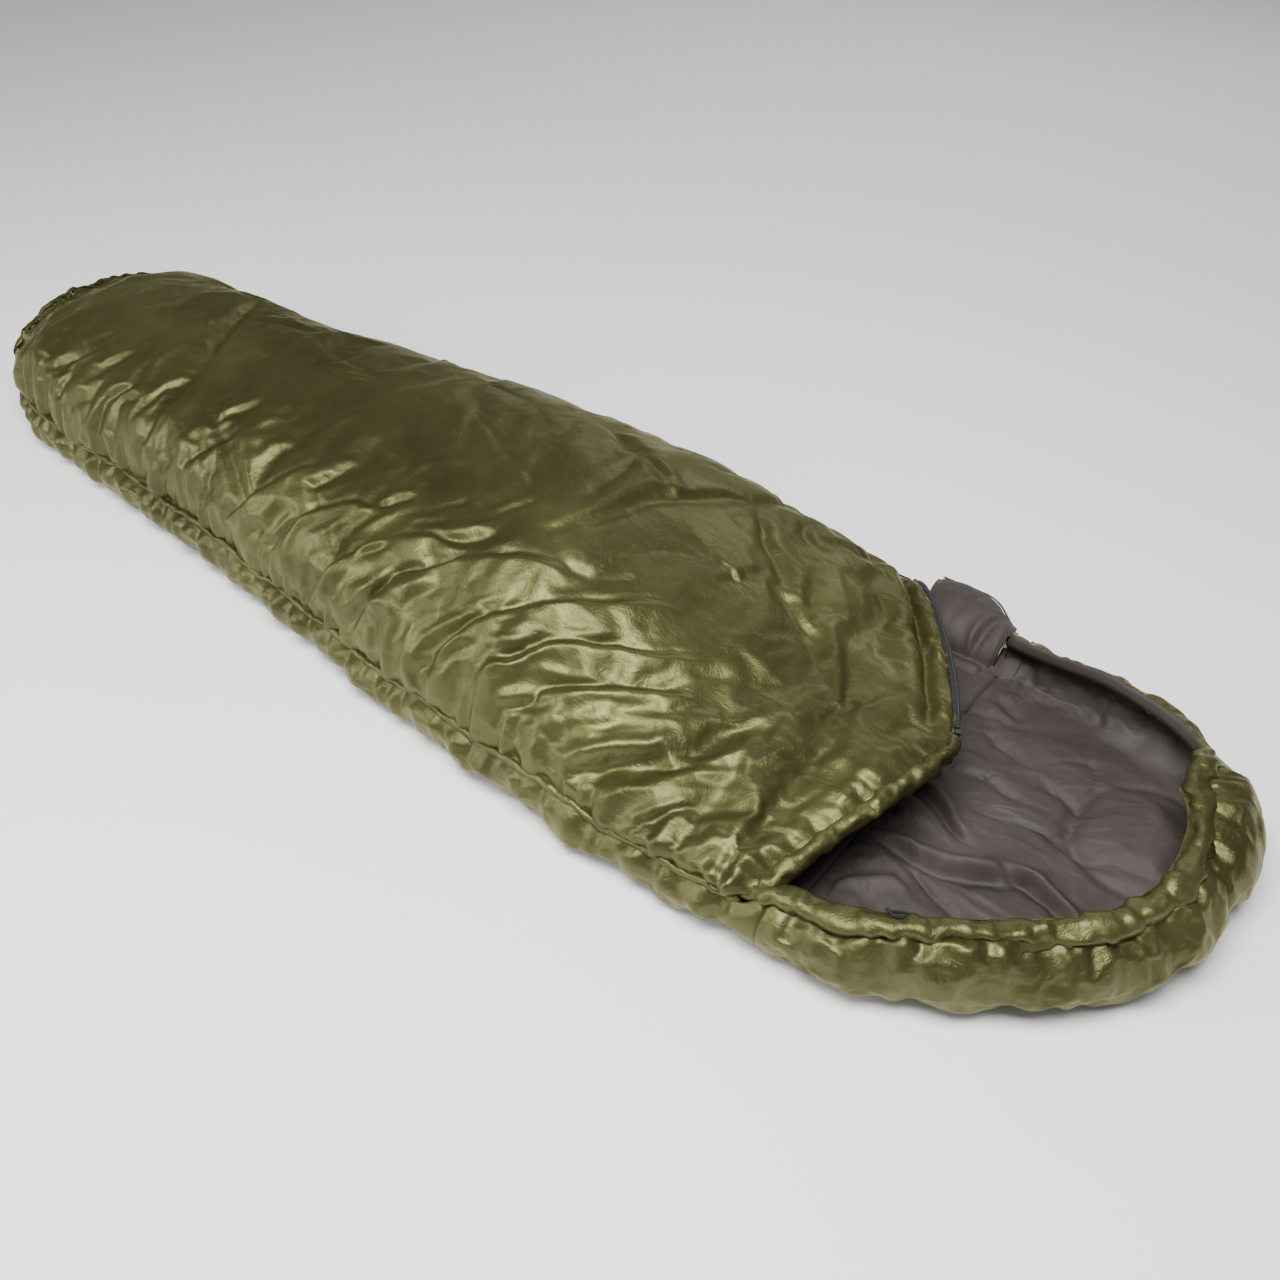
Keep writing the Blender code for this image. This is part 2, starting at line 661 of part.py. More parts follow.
def tail_route():
    """The drawcord's free end: out of the tunnel, down inside the rim, through the lock, along the lining."""
    start = rim_path(CHANNEL_START, CHANNEL_END, 2, CHANNEL_OUT, CHANNEL_UP)[0]
    before = rim_path(CHANNEL_START - 0.012, CHANNEL_END, 2, CHANNEL_OUT, CHANNEL_UP)[0]
    leaving = unit(before - start)
    lock = lock_place()
    rest = lining_floor() + TAIL_RADIUS + LOCK_REST_GAP
    return np.array([
        start + leaving * LAYER_GAP,
        start + leaving * 0.010,
        start + leaving * 0.021 + [0.0, 0.010, -0.003],
        start + leaving * 0.025 + [0.0, 0.024, -0.020],
        [start[0] + 0.000, start[1] + 0.037, (start[2] + lock[2]) / 2 + 0.006],
        [start[0] + 0.016, lock[1] - 0.004, lock[2] + 0.016],
        [lock[0] + LOCK_RADIUS + 0.010, lock[1], lock[2]],
        lock,
        [lock[0] - LOCK_RADIUS - LOCK_SLIDE / 2, lock[1], lock[2]],
        [lock[0] - LOCK_RADIUS - LOCK_SLIDE, lock[1], lock[2]],
        [lock[0] - 0.042, lock[1] - 0.003, rest + 0.0012],
        [lock[0] - 0.062, lock[1] - 0.007, rest],
        [lock[0] - 0.082, lock[1] - 0.004, rest],
    ])


def add_cylinder(bm, centre, axis, length, radius, sides):
    """A round bar in a bmesh, with its middle at centre."""
    turn = Vector((0.0, 0.0, 1.0)).rotation_difference(Vector(axis)).to_matrix()
    made = bmesh.ops.create_cone(bm, cap_ends=True, segments=sides, radius1=radius, radius2=radius,
                                 depth=length)
    for vertex in made["verts"]:
        vertex.co = turn @ vertex.co + Vector(centre)


def cut(target, name, centre, axis, length, radius, sides, stretch=0.0):
    """Cut a round hole, or a slot that runs on along +Y by the stretch, through an object."""
    bm = bmesh.new()
    add_cylinder(bm, centre, axis, length, radius, sides)
    if stretch:
        for vertex in bm.verts:
            if vertex.co.y > centre[1] + 1e-6:
                vertex.co.y += stretch
    cutter = object_from_bmesh(name, bm, "black_plastic", tuple(target.location))
    cutter.hide_render = True
    cutter.display_type = "WIRE"
    hole = target.modifiers.new(name, "BOOLEAN")
    hole.operation = "DIFFERENCE"
    hole.object = cutter


def make_cord_lock():
    """Barrel lock: body with a bore along Y, sprung plunger in the bore, cord through both along X."""
    lock = lock_place()
    back = lock[1] - LOCK_CORD_AT
    body = bmesh.new()
    add_cylinder(body, (lock[0], back + LOCK_LENGTH / 2, lock[2]), (0, 1, 0), LOCK_LENGTH, LOCK_RADIUS,
                 LOCK_SIDES)
    barrel = object_from_bmesh("cord_lock_body", body, "black_plastic", tuple(lock))
    bore = LOCK_RADIUS - LOCK_WALL
    bore_length = LOCK_LENGTH - LOCK_WALL
    past = LOCK_RADIUS / 8
    cut(barrel, "lock_bore_cut", (lock[0], back + LOCK_WALL + bore_length / 2 + past, lock[2]), (0, 1, 0),
        bore_length + 2 * past, bore, LOCK_SIDES)
    cut(barrel, "lock_cord_cut", tuple(lock), (1, 0, 0), 3 * LOCK_RADIUS, LOCK_CORD_HOLE, 10)
    plunger_radius = bore - PLUNGER_CLEARANCE
    plunger_back = lock[1] - LOCK_CORD_HOLE - PLUNGER_WEB
    plunger_front = back + LOCK_LENGTH + PLUNGER_TRAVEL + PLUNGER_PROUD
    stem = bmesh.new()
    add_cylinder(stem, (lock[0], (plunger_back + plunger_front) / 2, lock[2]), (0, 1, 0),
                 plunger_front - plunger_back, plunger_radius, LOCK_SIDES)
    plunger = object_from_bmesh("cord_lock_plunger", stem, "black_plastic", tuple(lock))
    cut(plunger, "plunger_cord_cut", tuple(lock), (1, 0, 0), 3 * LOCK_RADIUS, LOCK_CORD_HOLE, 10,
        PLUNGER_TRAVEL)
    low, high = back + LOCK_WALL + SPRING_END_GAP, plunger_back - SPRING_END_GAP
    per_turn = 10
    step = np.linspace(0.0, SPRING_TURNS * math.tau, SPRING_TURNS * per_turn + 1)
    radius = bore - 4 * SPRING_WIRE
    helix = np.stack([lock[0] + radius * np.cos(step),
                      low + SPRING_WIRE + (high - low - 2 * SPRING_WIRE) * step / step[-1],
                      lock[2] + radius * np.sin(step)], axis=-1)
    _, outs, ups = path_frames(helix, np.array([0.0, 1.0, 0.0]))
    sweep("cord_lock_spring", helix, outs, ups, circle_profile(SPRING_WIRE, 5), "spring_steel", tuple(lock))


def make_drawcord_tail():
    path = curve_through(tail_route(), 48)
    curve = bpy.data.curves.new("drawcord_tail", "CURVE")
    curve.dimensions = "3D"
    curve.bevel_depth = TAIL_RADIUS
    curve.bevel_resolution = 2
    curve.use_fill_caps = True
    line = curve.splines.new("POLY")
    line.points.add(len(path) - 1)
    for point, place in zip(line.points, path):
        point.co = (*place, 1.0)
    obj = bpy.data.objects.new("drawcord_tail", curve)
    bpy.context.collection.objects.link(obj)
    paint(obj, "black_webbing")
    end = path[-1] + unit(path[-1] - path[-2]) * (KNOT_RADIUS + LAYER_GAP)
    knot = bmesh.new()
    bmesh.ops.create_icosphere(knot, subdivisions=2, radius=KNOT_RADIUS)
    for vertex in knot.verts:
        vertex.co += Vector((end[0], end[1], lining_floor() + KNOT_RADIUS + LOCK_REST_GAP))
    object_from_bmesh("drawcord_knot", knot, "black_webbing")


# Cover edges: neck hem, zip edge and draught tube


def mouth_path(side_from, side_to, count, out, up):
    """A line beside the cover's front edge, from one side share to another (-1 near seam, 1 zip top)."""
    side = np.linspace(side_from, side_to, count)
    angle = np.arccos(np.clip(-side, -1.0, 1.0))
    step = 1e-4
    one = 1.0 + 0.0 * angle
    edge = cover_sheet(one, angle)
    ahead, behind = np.minimum(angle + step, math.pi), np.maximum(angle - step, 0.0)
    run = unit(cover_sheet(one, ahead) - cover_sheet(one, behind))
    forward = cover_sheet(one + step, angle) - cover_sheet(one - step, angle)
    normal = unit(np.cross(run, forward))
    normal = np.where(normal[:, 2:] < 0, -normal, normal)
    outward = unit(np.cross(normal, run))
    outward = np.where(np.einsum("ij,ij->i", outward, forward)[:, None] < 0, -outward, outward)
    return edge + outward * out + normal * up, outward, normal


def hem_start():
    """Side share where the neck hem begins: just inside the hood's near wall, which stands beside it."""
    join = -math.pi / 2
    rim = hood_point(np.array([join]), np.array([2.0]))[0]
    inner_edge = abs(rim[1]) - panel_depth(BODY_FILL) * math.cos(HOOD_RIM_NEAR)
    reach = near_width(HOOD_JOIN) - SEAM_INSET
    return -(inner_edge - HEM_RADIUS - HEM_CLEARANCE) / reach


def make_cover_edges():
    hem_path, hem_out, hem_up = mouth_path(hem_start(), HEM_CORNER_SHARE, 15, HEM_RADIUS + PANEL_GAP,
                                           -HEM_RADIUS)
    sweep("neck_hem", hem_path, hem_out, hem_up, circle_profile(HEM_RADIUS, 8), "olive_trim")
    tape, tape_out, tape_up = mouth_path(EDGE_TAPE_FROM, EDGE_TAPE_TO, 13, 0.0, -TAPE_THICK)
    sweep("cover_zip_tape", tape, tape_out, tape_up,
          box_profile(PANEL_GAP, PANEL_GAP + TAPE_WIDTH, -TAPE_THICK / 2, TAPE_THICK / 2), "black_webbing")
    coil_from = PANEL_GAP + TAPE_WIDTH + TAPE_GAP
    sweep("cover_zip_coil", tape, tape_out, tape_up,
          box_profile(coil_from, coil_from + COIL_WIDTH, -COIL_HEIGHT / 2, COIL_HEIGHT / 2), "black_coil")
    stop_from = EDGE_TAPE_TO - EDGE_STOP_GAP
    stop_at, stop_out, stop_up = mouth_path(stop_from, stop_from - EDGE_STOP_SHARE, 2, 0.0, -TAPE_THICK)
    stop_end = coil_from + COIL_WIDTH + EDGE_STOP_PROUD
    sweep("cover_zip_stop", stop_at, stop_out, stop_up,
          box_profile(PANEL_GAP + TAPE_WIDTH / 2, stop_end, -COIL_HEIGHT / 2, COIL_HEIGHT / 2), "dark_metal")


def make_draught_tube():
    """Padded rolls behind the zip: one inside the far wall, one under the cover's open zip edge."""
    depth = panel_depth(BODY_FILL)
    inside_x = np.linspace(ZIP_BOTTOM + DRAUGHT_END_GAP, ZIP_TOP - DRAUGHT_END_GAP, 14)
    y = zip_width(inside_x) - SEAM_INSET - depth - DRAUGHT_RADIUS - DRAUGHT_WALL_GAP
    inside = np.stack([inside_x, middle_line(inside_x) + y, SEAM_HEIGHT + 0.0 * y], axis=-1)
    out = PANEL_GAP + TAPE_WIDTH + COIL_WIDTH + DRAUGHT_RADIUS * 0.75
    down = TAPE_THICK + COIL_HEIGHT + DRAUGHT_RADIUS
    edge, _, _ = mouth_path(EDGE_ROLL_FROM, EDGE_ROLL_TO, 10, out, -down)
    for name, path in (("draught_tube", inside), ("zip_edge_roll", edge)):
        _, outs, ups = path_frames(path, np.array([0.0, 0.0, 1.0]))
        sweep(name, path, outs, ups, circle_profile(DRAUGHT_RADIUS, 8), "olive_trim")


# Closed zip along the far side


def zip_line(x):
    """Centre of the closed zip, on the cover's lower edge line."""
    y = middle_line(x) + zip_width(x) - SEAM_INSET
    return np.stack([x, y, SEAM_HEIGHT + 0.0 * x], axis=-1)


def make_closed_zip():
    x = np.concatenate([np.linspace(ZIP_BOTTOM, ZIP_STRAIGHT_FROM, 15), [ZIP_TOP - ZIP_TOP_GAP]])
    path = zip_line(x)
    tangent = unit(np.gradient(path, axis=0))
    up = np.tile([0.0, 0.0, 1.0], (len(path), 1))
    out = unit(np.cross(tangent, up)) * -1.0
    coil_low = COIL_SLOT / 2
    tape_low = coil_low + COIL_WIDTH * 0.5
    for name, sign in (("upper", 1.0), ("lower", -1.0)):
        coil = sorted((sign * coil_low, sign * (coil_low + COIL_WIDTH)))
        tape = sorted((sign * tape_low, sign * ZIP_HALF))
        sweep(f"zip_coil_{name}", path, out, up, box_profile(0.0, COIL_HEIGHT, *coil), "black_coil")
        sweep(f"zip_tape_{name}", path, out, up,
              box_profile(-TAPE_GAP - TAPE_THICK, -TAPE_GAP, *tape), "black_webbing")
    stop_x = np.array([ZIP_BOTTOM - STOP_LENGTH - STOP_GAP, ZIP_BOTTOM - STOP_GAP])
    stop = zip_line(stop_x)
    sweep("zip_bottom_stop", stop, out[:2], up[:2],
          box_profile(-TAPE_GAP - TAPE_THICK, COIL_HEIGHT, -ZIP_HALF / 2, ZIP_HALF / 2), "dark_metal")


SLIDER_REST = ZIP_TOP - 0.5 * SLIDER_LENGTH - SLIDER_TOP_GAP
SLIDER_INNER = COIL_HEIGHT / 2 + SLIDER_CLEARANCE
SLIDER_HALF = COIL_SLOT / 2 + COIL_WIDTH + SLIDER_CLEARANCE + SLIDER_WALL


def add_box(bm, low, high):
    """A box in a bmesh, from its lowest to its highest corner."""
    made = bmesh.ops.create_cube(bm, size=1.0)["verts"]
    size = Vector(high) - Vector(low)
    middle = (Vector(high) + Vector(low)) / 2
    for vertex in made:
        vertex.co = Vector(vertex.co[k] * size[k] + middle[k] for k in range(3))
    return made


def object_from_bmesh(name, bm, finish, origin=(0.0, 0.0, 0.0)):
    mesh = bpy.data.meshes.new(name)
    for vertex in bm.verts:
        vertex.co -= Vector(origin)
    bm.to_mesh(mesh)
    bm.free()
    obj = bpy.data.objects.new(name, mesh)
    bpy.context.collection.objects.link(obj)
    obj.location = origin
    paint(obj, finish)
    return obj


def union_of_boxes(name, boxes, finish, origin=(0.0, 0.0, 0.0)):
    """One body from boxes that share or cross faces."""
    first = None
    for number, (low, high) in enumerate(boxes):
        bm = bmesh.new()
        add_box(bm, low, high)
        piece = object_from_bmesh(name if number == 0 else f"{name}_cut{number}", bm, finish, origin)
        if first is None:
            first = piece
            continue
        piece.hide_render = True
        piece.display_type = "WIRE"
        union = first.modifiers.new(f"join{number}", "BOOLEAN")
        union.operation = "UNION"
        union.object = piece
    return first


def make_slider():
    """Slider round the two coils: outer and inner plates, bridge in the coils' slot, flanges and pull eye."""
    centre = zip_line(np.array([SLIDER_REST]))[0]
    mid_y = centre[1] + COIL_HEIGHT / 2
    x0, x1 = SLIDER_REST - SLIDER_LENGTH / 2, SLIDER_REST + SLIDER_LENGTH / 2
    z = centre[2]
    inner, plate = SLIDER_INNER, SLIDER_WALL
    front = mid_y + inner
    back = mid_y - inner - TAPE_THICK - 2 * TAPE_GAP
    bridge = COIL_SLOT / 2 - SLIDER_CLEARANCE
    flange = COIL_SLOT / 2 + COIL_WIDTH + SLIDER_CLEARANCE
    low, high = x0 + SLIDER_LIP, x1 - SLIDER_LIP
    lap = mid_y - SLIDER_FLANGE_LAP
    boxes = [
        ((x0, front, z - SLIDER_HALF), (x1, front + plate, z + SLIDER_HALF)),
        ((x0, back - plate, z - SLIDER_HALF), (x1, back, z + SLIDER_HALF)),
        ((high - SLIDER_BRIDGE, back - JOIN_OVERLAP, z - bridge), (high, front + JOIN_OVERLAP, z + bridge)),
        ((low, lap, z + flange), (high, front + JOIN_OVERLAP, z + SLIDER_HALF)),
        ((low, lap, z - SLIDER_HALF), (high, front + JOIN_OVERLAP, z - flange)),
    ]
    eye_y = front + plate
    eye_top = eye_y + PULL_THICK + 3 * PULL_PLAY + EYE_BAR
    half_eye, half_post = EYE_WIDTH / 2, EYE_POST / 2
    for x in (SLIDER_REST - EYE_REACH, SLIDER_REST + EYE_REACH):
        boxes.append(((x - half_post, eye_y - JOIN_OVERLAP, z - half_eye),
                      (x + half_post, eye_top, z + half_eye)))
    boxes.append(((SLIDER_REST - EYE_REACH - half_post, eye_top - EYE_BAR, z - half_eye),
                  (SLIDER_REST + EYE_REACH + half_post, eye_top, z + half_eye)))
    union_of_boxes("zip_slider", boxes, "dark_metal", (SLIDER_REST, centre[1], z))
    return eye_y


def make_pull(eye_y):
    """The pull: end bar under the slider's eye, frame round the eye, tab lying along -X."""
    pivot = (SLIDER_REST, eye_y + PULL_THICK / 2 + PULL_PLAY, SEAM_HEIGHT)
    half, bar = PULL_WIDTH / 2, PULL_THICK / 2

    def piece(back, front, low, high):
        return ((pivot[0] - back, pivot[1] - bar, pivot[2] + low),
                (pivot[0] - front, pivot[1] + bar, pivot[2] + high))

    boxes = [
        piece(bar, -bar, -half, half),
        piece(PULL_FRAME + JOIN_OVERLAP, -bar, EYE_WIDTH / 2 + PULL_PLAY * 2, half),
        piece(PULL_FRAME + JOIN_OVERLAP, -bar, -half, -EYE_WIDTH / 2 - PULL_PLAY * 2),
        piece(PULL_LENGTH, PULL_FRAME, -half, half),
    ]
    union_of_boxes("zip_pull", boxes, "dark_metal", pivot)


# Flap


def flap_point(along, across):
    """Lining face of the turned-out flap: along X from its start, across from the fold to its outer edge."""
    x_share = np.clip(along, 0.0, 1.0)
    fold_y = zip_width(FLAP_START) - WALL_REACH + FLAP_FOLD_INSET
    corner = smoothstep((x_share - FLAP_CORNER_FROM) / (1 - FLAP_CORNER_FROM)) ** 1.5
    width = FLAP_WIDTH - FLAP_CORNER * corner
    x = FLAP_START + FLAP_LENGTH * along - FLAP_LEAN * across * (1 - along)
    y = fold_y + width * across
    build = FLAP_ARCH_AT_START + (1 - FLAP_ARCH_AT_START) * smoothstep(x_share / FLAP_ARCH_BUILD)
    arch = FLAP_ARCH * build * (1 - 0.25 * x_share) * np.sin(math.pi * np.clip(across, 0.0, 1.0) ** 0.75)
    return np.stack([x, y, FLAP_FOLD_HEIGHT + arch + FLAP_EDGE_RISE * across], axis=-1)


def make_flap():
    along = np.linspace(0.0, 1.0, 7)
    across = np.linspace(0.0, 1.0, 7)
    points, normals = surface_grid(flap_point, along, across)
    fold = (FLAP_START, zip_width(FLAP_START) - WALL_REACH + FLAP_FOLD_INSET, FLAP_FOLD_HEIGHT)
    depth = 0.0
    faces = grid_faces(len(along), len(across))
    layers = (("lining", LINING_CLOTH, "taupe_lining"), ("fill", FLAP_FILL, "white_fill"),
              ("shell", SHELL_CLOTH, "olive_shell"))
    for layer, thickness, finish in layers:
        between_layers(f"flap_{layer}", faces, points - normals * depth,
                       points - normals * (depth + thickness), finish, fold)
        depth += thickness + LAYER_GAP
    run = np.linspace(0.02, 0.96, 8)
    edge, edge_normal = surface_grid(flap_point, run, np.array([1.0]))
    inner = flap_point(run, np.full_like(run, 0.98))
    outward = unit(edge - inner)
    tape = box_profile(FLAP_EDGE_GAP, FLAP_EDGE_GAP + TAPE_WIDTH, -TAPE_THICK / 2, TAPE_THICK / 2)
    sweep("flap_zip_tape", edge, outward, edge_normal, tape, "black_webbing", fold)
    coil_from = FLAP_EDGE_GAP + TAPE_WIDTH + TAPE_GAP
    coil = box_profile(coil_from, coil_from + COIL_WIDTH, -COIL_HEIGHT / 2, COIL_HEIGHT / 2)
    sweep("flap_zip_coil", edge, outward, edge_normal, coil, "black_coil", fold)
    stop = flap_point(np.array([0.975, 0.995]), np.array([1.0, 1.0]))
    stop_profile = box_profile(FLAP_EDGE_GAP + TAPE_WIDTH / 2, coil_from + COIL_WIDTH, -COIL_HEIGHT / 2,
                               COIL_HEIGHT / 2)
    sweep("flap_zip_stop", stop, outward[-2:], edge_normal[-2:], stop_profile, "dark_metal", fold)


# Trim


def make_side_piping():
    """Corded seam between cover and base along the near side."""
    x = np.linspace(FOOT_SEAM + PIPING_START_GAP, ZIP_TOP + PIPING_END_PAST_ZIP, 18)
    scale = foot_scale(x)
    y = middle_line(x) - (near_width(x) - SEAM_INSET) * scale
    z = FOOT_POLE_HEIGHT + (SEAM_HEIGHT - FOOT_POLE_HEIGHT) * scale
    path = np.stack([x, y - PIPING_RADIUS - PIPING_OUT, z + PIPING_UP], axis=-1)
    _, outs, ups = path_frames(path, np.array([0.0, 0.0, 1.0]))
    sweep("side_seam_piping", path, outs, ups, circle_profile(PIPING_RADIUS, 6), "olive_trim")


def make_foot_loop():
    """Loop of webbing sewn to the foot: a flat strap bent back on itself, standing out along -X."""
    pole_y, pole_z = middle_line(0.0), FOOT_POLE_HEIGHT
    outer = LOOP_INSIDE / 2 + LOOP_THICK
    straight = LOOP_REACH - outer
    root = -LOOP_SWING_GAP
    outline = []
    bends = 7
    for radius in (outer, outer - LOOP_THICK):
        arc = [(root - straight - radius * math.cos(a), radius * math.sin(a))
               for a in np.linspace(math.pi / 2, -math.pi / 2, bends)]
        outline.append([(root, radius)] + arc + [(root, -radius)])
    count = len(outline[0])
    points = []
    for side in (-LOOP_WIDTH / 2, LOOP_WIDTH / 2):
        for ring in outline:
            points += [(x, pole_y + side, pole_z + z) for x, z in ring]
    faces = []
    for k in range(count - 1):
        out0, out1, in0, in1 = k, k + 1, count + k, count + k + 1
        faces += [(out0, in0, in1), (out0, in1, out1)]
        far = 2 * count
        faces += [(far + out0, far + in1, far + in0), (far + out0, far + out1, far + in1)]
        faces += [(out0, out1, far + out1), (out0, far + out1, far + out0)]
        faces += [(in0, far + in1, in1), (in0, far + in0, far + in1)]
    for end in (0, count - 1):
        quad = [end, count + end, 3 * count + end, 2 * count + end]
        quad = quad if end else list(reversed(quad))
        faces += [(quad[0], quad[1], quad[2]), (quad[0], quad[2], quad[3])]
    solid("foot_loop", points, faces, "black_webbing", (root, pole_y, pole_z))


def centre_on_ground():
    """Move the assembly so that its footprint's middle is the origin and it stands on Z = 0."""
    bpy.context.view_layer.update()
    graph = bpy.context.evaluated_depsgraph_get()
    corners = []
    for obj in bpy.data.objects:
        if obj.hide_render:
            continue
        evaluated = obj.evaluated_get(graph)
        mesh = evaluated.to_mesh()
        points = np.empty(len(mesh.vertices) * 3)
        mesh.vertices.foreach_get("co", points)
        corners.append(points.reshape(-1, 3) + np.array(evaluated.matrix_world.translation))
        evaluated.to_mesh_clear()
    corners = np.vstack(corners)
    low, high = corners.min(axis=0), corners.max(axis=0)
    move = Vector((-(low[0] + high[0]) / 2, -(low[1] + high[1]) / 2, -low[2]))
    for obj in bpy.data.objects:
        obj.location += move
    print("moved by", tuple(round(value, 5) for value in move), "size", (high - low).round(4).tolist())


def main():
    for obj in list(bpy.data.objects):
        bpy.data.objects.remove(obj, do_unlink=True)
    make_foot()
    make_base()
    make_cover()
    make_hood()
    make_channel()
    make_cord_lock()
    make_drawcord_tail()
    make_cover_edges()
    make_draught_tube()
    make_closed_zip()
    make_pull(make_slider())
    make_flap()
    make_side_piping()
    make_foot_loop()
    centre_on_ground()


main()
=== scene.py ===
import json
import math

import bmesh
import bpy
import numpy as np
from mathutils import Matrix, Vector


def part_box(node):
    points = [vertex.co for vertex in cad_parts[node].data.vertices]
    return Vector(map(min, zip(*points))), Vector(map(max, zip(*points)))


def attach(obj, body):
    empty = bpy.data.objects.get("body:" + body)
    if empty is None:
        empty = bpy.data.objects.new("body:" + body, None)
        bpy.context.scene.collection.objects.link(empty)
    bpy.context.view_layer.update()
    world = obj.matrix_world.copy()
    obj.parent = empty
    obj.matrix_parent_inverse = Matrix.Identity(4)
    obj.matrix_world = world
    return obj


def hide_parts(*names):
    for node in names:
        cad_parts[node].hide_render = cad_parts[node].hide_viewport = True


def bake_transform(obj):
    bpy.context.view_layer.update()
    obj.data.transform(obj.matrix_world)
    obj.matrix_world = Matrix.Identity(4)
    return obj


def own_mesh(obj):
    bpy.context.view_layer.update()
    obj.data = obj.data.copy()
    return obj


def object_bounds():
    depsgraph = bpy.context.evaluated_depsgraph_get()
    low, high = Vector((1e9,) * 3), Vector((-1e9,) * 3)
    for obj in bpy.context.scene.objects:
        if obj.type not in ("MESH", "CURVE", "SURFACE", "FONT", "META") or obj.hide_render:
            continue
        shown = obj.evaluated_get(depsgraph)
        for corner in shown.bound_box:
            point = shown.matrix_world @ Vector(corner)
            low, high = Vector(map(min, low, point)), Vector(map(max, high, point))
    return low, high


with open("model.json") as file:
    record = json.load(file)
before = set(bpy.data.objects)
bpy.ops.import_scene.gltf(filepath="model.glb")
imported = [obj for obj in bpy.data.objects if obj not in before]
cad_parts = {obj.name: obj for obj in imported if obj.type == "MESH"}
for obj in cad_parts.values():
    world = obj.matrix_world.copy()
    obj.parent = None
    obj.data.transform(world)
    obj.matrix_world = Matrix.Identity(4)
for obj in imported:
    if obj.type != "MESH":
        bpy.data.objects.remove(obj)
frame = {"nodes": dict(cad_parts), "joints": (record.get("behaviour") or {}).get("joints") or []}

CAD_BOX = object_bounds()
NODES = frame["nodes"]
JOINTS = {joint["name"]: joint for joint in frame["joints"]}
PI = math.pi

# Form of the bag, in metres: X from the foot's end, Y from the middle line, Z up
BAG_LENGTH, FOOT_WIDTH, SHOULDER_WIDTH = 2.290, 0.48, 0.67
BODY_HEIGHT, MOUTH_HEIGHT, FOOT_DROP = 0.245, 0.135, 0.82
TAPER_START, SHOULDER_AT, ZIP_STRAIGHT_FROM, HOOD_START = 0.42, 1.62, 1.27, 1.715
FOOT_ROUND, FOOT_SEAM, FOOT_POLE_HEIGHT, FOOT_LEAN = 0.27, 0.13, 0.100, 0.035
HOOD_LEAN, HOOD_NEAR_POWER, HOOD_FAR_POWER = 0.060, 2.15, 2.3
WALL_REACH, WALL_RISE, SEAM_ANGLE, ARCH_POWER = 0.060, 0.046, math.radians(35), 0.86
MOUTH_CORNER, ZIP_EDGE_BACK, NECK_EDGE_BACK = 1.932, 0.225, 0.075
ZIP_EDGE_POWER, NECK_EDGE_POWER = 1.3, 1.2
ZIP_TOP = MOUTH_CORNER - ZIP_EDGE_BACK
HOOD_JOIN, HOOD_WALL_RISE, HOOD_FAR_TUCK = 1.878, 0.056, 0.030
HOOD_RIM_NEAR, HOOD_RIM_FAR = math.radians(68), math.radians(112)
PANEL_DEPTH = 0.0209
LINING_DEPTH = PANEL_DEPTH - 0.002
SHELL_CLOTH, LINING_CLOTH = 0.0014, 0.0012
FLAP_START, FLAP_LENGTH, FLAP_WIDTH = 1.743, 0.122, 0.128
FLAP_ARCH, FLAP_CORNER, FLAP_LEAN = 0.048, 0.045, 0.030
FOLD_HEIGHT, FOLD_INSET = 0.021, 0.012
ZIP_BOTTOM = 0.40
SEAM_HEIGHT = WALL_RISE * (1 + math.sin(SEAM_ANGLE))
SEAM_INSET = WALL_REACH * (1 - math.cos(SEAM_ANGLE))
FLOOR_TURN = -PI / 2

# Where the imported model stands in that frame
FOLD_AT = SHOULDER_WIDTH / 2 - WALL_REACH + FOLD_INSET
SHIFT = np.array([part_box("foot_shell")[0].x, JOINTS["flap_fold"]["pos_m"][1] - FOLD_AT, 0.0])


# ---------------------------------------------------------------- numbers and noise


def smoothstep(value):
    value = np.clip(value, 0.0, 1.0)
    return value * value * (3.0 - 2.0 * value)


def bell(value):
    return np.exp(-(value**2))


def unit(vectors):
    return vectors / np.maximum(np.linalg.norm(vectors, axis=-1, keepdims=True), 1e-12)


def noise(u, v, seed):
    """Smooth value noise from -1 to 1 with a cell of one unit."""
    grid = np.random.RandomState(seed).uniform(-1, 1, (97, 97))
    iu, iv = np.floor(u).astype(int), np.floor(v).astype(int)
    fu, fv = u - iu, v - iv
    fu, fv = fu * fu * fu * (fu * (fu * 6 - 15) + 10), fv * fv * fv * (fv * (fv * 6 - 15) + 10)
    a, b = grid[iu % 97, iv % 97], grid[(iu + 1) % 97, iv % 97]
    c, d = grid[iu % 97, (iv + 1) % 97], grid[(iu + 1) % 97, (iv + 1) % 97]
    return (a * (1 - fu) + b * fu) * (1 - fv) + (c * (1 - fu) + d * fu) * fv


def layered(u, v, seed, octaves=4, gain=0.5):
    total, size = 0.0, 1.0
    for k in range(octaves):
        total = total + size * noise(u * 2**k, v * 2**k, seed + 7 * k)
        size *= gain
    return total


def creased(u, v, seed, octaves=3):
    """Ridged noise, 0 in the flats and 1 on sharp ridges."""
    total, size, norm = 0.0, 1.0, 0.0
    for k in range(octaves):
        total = total + size * (1 - np.abs(noise(u * 2**k, v * 2**k, seed + 5 * k))) ** 3
        norm += size
        size *= 0.55
    return total / norm


